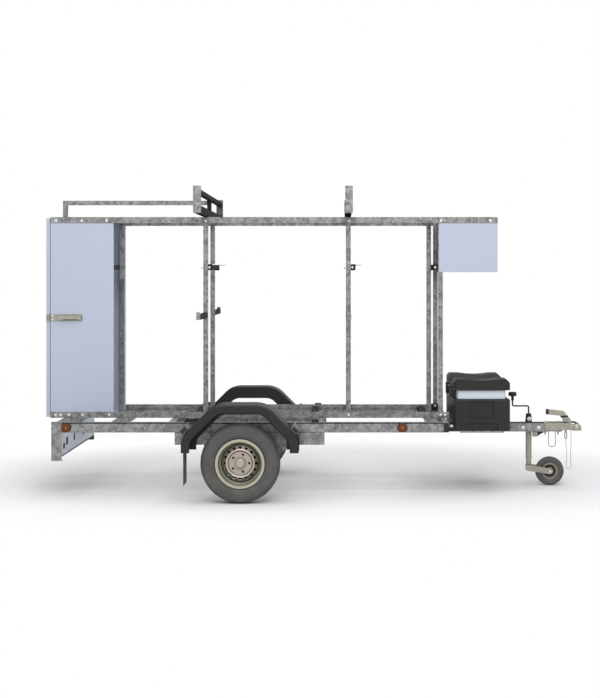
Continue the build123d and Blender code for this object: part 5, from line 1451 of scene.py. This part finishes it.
# ---------------------------------------------------------------- coupling and jockey
@dataclass
class CouplingTrim:
    """Bolts, black strips of painted shade, and grip of the coupling, and the jockey clamp's bolts and
    blocks.
    """

    bolt_z: float = 0.462
    clamp_bolt: Surface = bolt(0.0095, 0.010)
    clamp_bolt_xs: tuple[float, ...] = (1.605, 1.728)
    bolt_xs: tuple[float, ...] = (1.783, 1.884)
    top_bolt: Surface = bolt(0.0085, 0.013)
    bolt_end: Surface = turned([(0.0105, 0.4322), (0.0105, 0.424), (0.0055, 0.4235), (0.0055, 0.405),
                                (0.0045, 0.404)], 20)
    side_bolt: Surface = bolt(0.007, 0.005)
    sunk: float = 0.0002

    # Black strips along the tops of the drawbar and the coupling, and over its nose: painted shade lines.
    bar_strip: Surface = plate(0.305, 0.058, 0.0045, 0.004)
    bar_strip_x: float = 1.6195
    head_strip: Surface = plate(0.165, 0.050, 0.0035, 0.004)
    head_strip_x: float = 1.8715
    head_strip_sunk: float = 0.0008
    nose_route: tuple[Point, ...] = ((1.978, 0, 0.5010), (1.996, 0, 0.5035), (2.014, 0, 0.5005),
                                     (2.030, 0, 0.4935), (2.043, 0, 0.4845), (2.053, 0, 0.4735),
                                     (2.0585, 0, 0.461))
    nose_radius: float = 0.0072

    tip: Surface = plate(0.0368, 0.0408, 0.0215, 0.008, 0.002)
    tip_place: Point = (1.8105, 0, 0.5837)
    ring: Surface = plate(0.056, 0.0376, 0.015, 0.006, 0.001)
    ring_place: Point = (1.932, 0, 0.540)
    block: Surface = plate(0.038, 0.036, 0.042, 0.004, 0.001)
    block_place: Point = (1.7025, 0, 0.3902)
    wedge_outline: Profile = ((1.721, 0.392), (1.745, 0.411), (1.768, 0.4215), (1.768, 0.4325),
                              (1.721, 0.4325))
    wedge_half: float = 0.012

    def build(self, shop: Workshop) -> None:
        """Adds the coupling's and the clamp's pieces.

        Args:
            shop: makes the pieces.
        """
        self._bolts(shop)
        self._strips(shop)
        _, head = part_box("coupling_head")
        for side in Side:
            places = [(x, side.value * head.y, self.bolt_z) for x in self.bolt_xs]
            heads = self.side_bolt.facing(side.outwards).copies(places)
            shop.add(f"coupling_side_bolts_{side.label}", heads, Look.ZINC)
        tip = self.tip.facing(Direction.REARWARDS).at(*self.tip_place)
        shop.add("handle_tip", tip, Look.GRIP_PLASTIC)
        shop.add("handle_ring", self.ring.at(*self.ring_place), Look.GRIP_PLASTIC)
        shop.add("clamp_block", self.block.at(*self.block_place), Look.ZINC)
        shop.add("clamp_wedge", slab(self.wedge_outline, self.wedge_half), Look.GRIP_PLASTIC, smooth=False)

    def _bolts(self, shop: Workshop) -> None:
        """Adds the clamp's bolts, and the coupling's bolts with the ends that stand out below.

        Args:
            shop: makes the pieces.
        """
        bar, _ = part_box("drawbar")
        _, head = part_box("coupling_head")
        clamp = self.clamp_bolt.facing(Direction.RIGHT)
        shop.add("clamp_bolts", clamp.copies([(x, bar.y, self.bolt_z) for x in self.clamp_bolt_xs]),
                 Look.BOLT_ZINC)
        heads = self.top_bolt.copies([(x, 0, head.z - self.sunk) for x in self.bolt_xs])
        shop.add("coupling_bolts", heads, Look.BOLT_ZINC)
        shop.add("coupling_bolt_ends", self.bolt_end.copies([(x, 0, 0) for x in self.bolt_xs]), Look.ZINC)

    def _strips(self, shop: Workshop) -> None:
        """Adds the black strips on the drawbar and the coupling, and the one bent over its nose: painted
        shade lines along their tops.

        Args:
            shop: makes the pieces.
        """
        _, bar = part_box("drawbar")
        _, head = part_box("coupling_head")
        shade_lines = [self.bar_strip.at(self.bar_strip_x, 0, bar.z - self.sunk),
                  self.head_strip.at(self.head_strip_x, 0, head.z - self.head_strip_sunk)]
        # Painted shade lines along the tops of the drawbar and the coupling.
        shop.add("drawbar_shade_strips", Surface.joined(shade_lines), Look.GRIP_PLASTIC)
        shop.add("nose_shade_strip", tube(self.nose_route, self.nose_radius, (0, 1, 0)), Look.GRIP_PLASTIC)


@dataclass
class JockeyTrim:
    """Crank boss, axle nuts, and dark rings of painted shade in the jockey wheel's hub recesses."""

    boss: Surface = turned([(0.017, -0.004), (0.017, 0.002), (0.0155, 0.0035), (0.008, 0.004),
                            (0.0075, 0.007)], 32)
    boss_place: Point = (1.663, 0.0375, 0.522)
    nut: Surface = turned([(0.0105, 0), (0.0105, 0.004), (0.009, 0.0052)], 6)
    nut_reach: float = 0.0383
    # A dark ring in each hub recess: painted shade.
    recess: Surface = turned([(0.030, 0), (0.030, 0.0012), (0.046, 0.0012), (0.046, 0)], capped=False)
    recess_reach: float = 0.0058

    def build(self, shop: Workshop) -> None:
        """Adds the jockey wheel's pieces.

        Args:
            shop: makes the pieces.
        """
        shop.add("crank_boss", self.boss.facing(Direction.RIGHT).at(*self.boss_place), Look.BOLT_ZINC)
        low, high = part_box("jockey_tyre")
        wheel = (low + high) / 2
        for side in Side:
            for name, shape, reach, look, body in (
                    ("nut", self.nut, self.nut_reach, Look.BOLT_ZINC, Body.JOCKEY_CASTER),
                    ("recess", self.recess, self.recess_reach, Look.DARK_GAP, Body.JOCKEY_WHEEL)):
                placed = shape.facing(side.outwards).at(wheel.x, wheel.y + side.value * reach, wheel.z)
                shop.add(f"jockey_{name}_{side.label}", placed, look, body)


# ---------------------------------------------------------------- safety cable
@dataclass
class SafetyCable:
    """Wire rope from the coupling down and back up to its snap hook."""

    route: tuple[Point, ...] = (
        (1.984, 0, 0.443), (1.985, 0.001, 0.414), (1.986, 0.002, 0.357), (1.985, 0.003, 0.300),
        (1.981, 0.003, 0.246), (1.984, 0.002, 0.197), (1.986, 0.001, 0.170), (1.984, 0, 0.148),
        (1.973, -0.001, 0.136), (1.957, -0.001, 0.136), (1.946, 0, 0.148), (1.948, 0.001, 0.172),
        (1.951, 0.002, 0.214), (1.953, 0.001, 0.261), (1.948, 0, 0.307), (1.944, 0, 0.345),
        (1.9443, 0, 0.3697))
    length: float = 0.563
    diameter: float = 0.004

    def build(self, shop: Workshop) -> None:
        """Args:
            shop: holds the materials.
        """
        line = bpy.data.curves.new("safety_rope", "CURVE")
        line.dimensions = "3D"
        line.bevel_depth = self.diameter / 2
        line.bevel_resolution = 3
        line.resolution_u = 8
        line.use_fill_caps = True
        spline = line.splines.new("NURBS")
        spline.points.add(len(self.route) - 1)
        for point, place in zip(spline.points, self.route):
            point.co = (*place, 1)
        spline.order_u = 3
        spline.use_endpoint_u = True
        line.materials.append(shop.materials["wire"])
        rope = bpy.data.objects.new("safety_rope", line)
        bpy.context.scene.collection.objects.link(rope)
        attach(rope, "chassis")
        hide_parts("safety_cable")


# ---------------------------------------------------------------- cabinet
@dataclass
class CabinetTrim:
    """Dark plate for the slot of the side door's latch, painted shade of the opening, and the latch's pins.
    """

    # Painted shade of the latch's slot.
    slot: Surface = plate(0.112, 0.0045, 0.002, 0.002, 0.0005)
    slot_inset: float = 0.088
    slot_sunk: float = 0.0018
    slot_drop: float = 0.0145
    pin: Surface = button(0.007, 0.003)
    pin_inset: float = 0.014
    pin_y: float = -0.287
    pin_spread: float = 0.014

    def build(self, shop: Workshop) -> None:
        """Adds the latch's pieces.

        Args:
            shop: makes the pieces.
        """
        low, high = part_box("door_latch")
        middle_z = (low.z + high.z) / 2
        slot = self.slot.facing(Direction.RIGHT).at(high.x - self.slot_inset, low.y + self.slot_sunk,
                                                    middle_z - self.slot_drop)
        # Painted shade: a dark plate where the slot is.
        shop.add("latch_slot_shade", slot, Look.DARK_GAP)
        places = [(low.x + self.pin_inset, self.pin_y, middle_z + rise)
                  for rise in (-self.pin_spread, self.pin_spread)]
        shop.add("latch_pins", self.pin.facing(Direction.RIGHT).copies(places), Look.BOLT_ZINC)


# ---------------------------------------------------------------- stage
@dataclass
class Stage:
    """White floor, plain light and the camera."""

    eye: Point = (0.173, -9.964, 1.656)
    lens: float = 65.5
    shift: tuple[float, float] = (-0.0573, -0.106)

    sky: float = 0.47
    key_place: Point = (0.2, -7.5, 5.8)
    key_size: float = 5.0
    key_power: float = 300.0
    top_place: Point = (0.0, -1.0, 8.0)
    top_size: float = 8.0
    top_power: float = 390.0
    aim: Point = (0, 0, 0.8)

    floor_reach: float = 120.0
    floor_grey: float = 0.74
    floor_seen_more: float = 0.12
    floor_roughness: float = 0.9
    oval_middle: tuple[float, float] = (0.0, 0.4)
    oval_halves: tuple[float, float] = (3.6, 2.6)
    oval_start: float = 0.55

    def build(self) -> None:
        """Adds the floor, the world, the lamps and the camera."""
        self._floor()
        self._world()
        self._lamp("key", self.key_place, self.key_size, self.key_power)
        self._lamp("top", self.top_place, self.top_size, self.top_power)
        self._camera()
        bpy.context.scene.view_settings.view_transform = "Standard"

    def _camera(self) -> None:
        """Adds the camera, which looks straight to the left."""
        camera = bpy.data.objects.new("camera", bpy.data.cameras.new("camera"))
        bpy.context.scene.collection.objects.link(camera)
        camera.location = self.eye
        camera.rotation_euler = (math.pi / 2, 0, 0)
        camera.data.lens = self.lens
        camera.data.shift_x, camera.data.shift_y = self.shift
        bpy.context.scene.camera = camera

    @staticmethod
    def _seen(tree: Tree) -> Socket:
        """Tells rays that show a surface from rays that light one.

        Args:
            tree: node tree that takes the nodes.

        Returns:
            A socket that is 1 for a ray from the camera, off a mirror or through a glass.
        """
        path = tree.nodes.new("ShaderNodeLightPath")
        seen = Effects.math(tree, "MAXIMUM", path.outputs["Is Camera Ray"], path.outputs["Is Glossy Ray"])
        return Effects.math(tree, "MAXIMUM", seen, path.outputs["Is Transmission Ray"])

    def _oval(self, tree: Tree) -> Socket:
        """Adds a soft oval on the floor: the distance from its middle in half lengths, made a mask.

        Args:
            tree: node tree that takes it.

        Returns:
            A socket that is 0 inside the oval and 1 outside.
        """
        half_x, half_y = self.oval_halves
        moved = Effects.vector_math(tree, "SUBTRACT", Effects.position(tree), (*self.oval_middle, 0))
        scaled = Effects.vector_math(tree, "MULTIPLY", moved.outputs["Vector"], (1 / half_x, 1 / half_y, 0))
        far = Effects.vector_math(tree, "LENGTH", scaled.outputs["Vector"]).outputs["Value"]
        return Effects.ramp(tree, far, self.oval_start, 1.0)

    def _floor(self) -> None:
        """Adds the floor, which lets the white world through outside the oval."""
        mesh = bpy.data.meshes.new("floor")
        reach = self.floor_reach
        mesh.from_pydata([(-reach, -reach, 0), (reach, -reach, 0), (reach, reach, 0), (-reach, reach, 0)], [],
                         [(0, 1, 2, 3)])
        floor = bpy.data.objects.new("floor", mesh)
        bpy.context.scene.collection.objects.link(floor)
        made = bpy.data.materials.new("floor_white")
        made.use_nodes = True
        tree = made.node_tree
        shader = tree.nodes["Principled BSDF"]
        shader.inputs["Roughness"].default_value = self.floor_roughness
        shader.inputs["Specular IOR Level"].default_value = 0.0
        seen = self._seen(tree)
        level = Effects.math(tree, "MULTIPLY_ADD", seen, self.floor_seen_more, self.floor_grey)
        grey = Effects.place(tree, "ShaderNodeCombineColor", {0: level, 1: level, 2: level}).outputs[0]
        tree.links.new(grey, shader.inputs["Base Color"])
        hidden = Effects.math(tree, "MULTIPLY", self._oval(tree), seen)
        tree.links.new(Effects.math(tree, "SUBTRACT", 1.0, hidden), shader.inputs["Alpha"])
        mesh.materials.append(made)

    def _world(self) -> None:
        """Adds a world that lights the object at a plain level and looks white."""
        world = bpy.data.worlds.new("studio")
        bpy.context.scene.world = world
        world.use_nodes = True
        tree = world.node_tree
        back = tree.nodes["Background"]
        back.inputs["Color"].default_value = (1, 1, 1, 1)
        strength = Effects.place(tree, "ShaderNodeMix", {0: self._seen(tree), 2: self.sky, 3: 1.0})
        tree.links.new(strength.outputs[0], back.inputs["Strength"])

    def _lamp(self, name: str, place: Point, size: float, power: float) -> None:
        """Adds a square lamp that points at the trailer.

        Args:
            name: of the lamp.
            place: where it stands.
            size: length of its sides.
            power: in watts.
        """
        data = bpy.data.lights.new(name, "AREA")
        data.size = size
        data.energy = power
        lamp = bpy.data.objects.new(name, data)
        bpy.context.scene.collection.objects.link(lamp)
        lamp.location = place
        lamp.rotation_euler = (Vector(self.aim) - lamp.location).to_track_quat("-Z", "Y").to_euler()


def main() -> None:
    """Dresses the frame and sets the stage."""
    logging.basicConfig(level=logging.INFO)
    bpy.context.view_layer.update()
    shop = Workshop(frame["record"])
    shop.paint_frame(frame)
    for group in (RoadWheels(), FrameTrim(RailTrim(), ClipTrim()), RearLights(), SideMarkers(), ToolboxTrim(),
                  CouplingTrim(), JockeyTrim(), SafetyCable(), CabinetTrim()):
        before = shop.count
        group.build(shop)
        LOG.info("%s: %d pieces", type(group).__name__, shop.count - before)
    Stage().build()


if __name__ == "__main__":
    main()
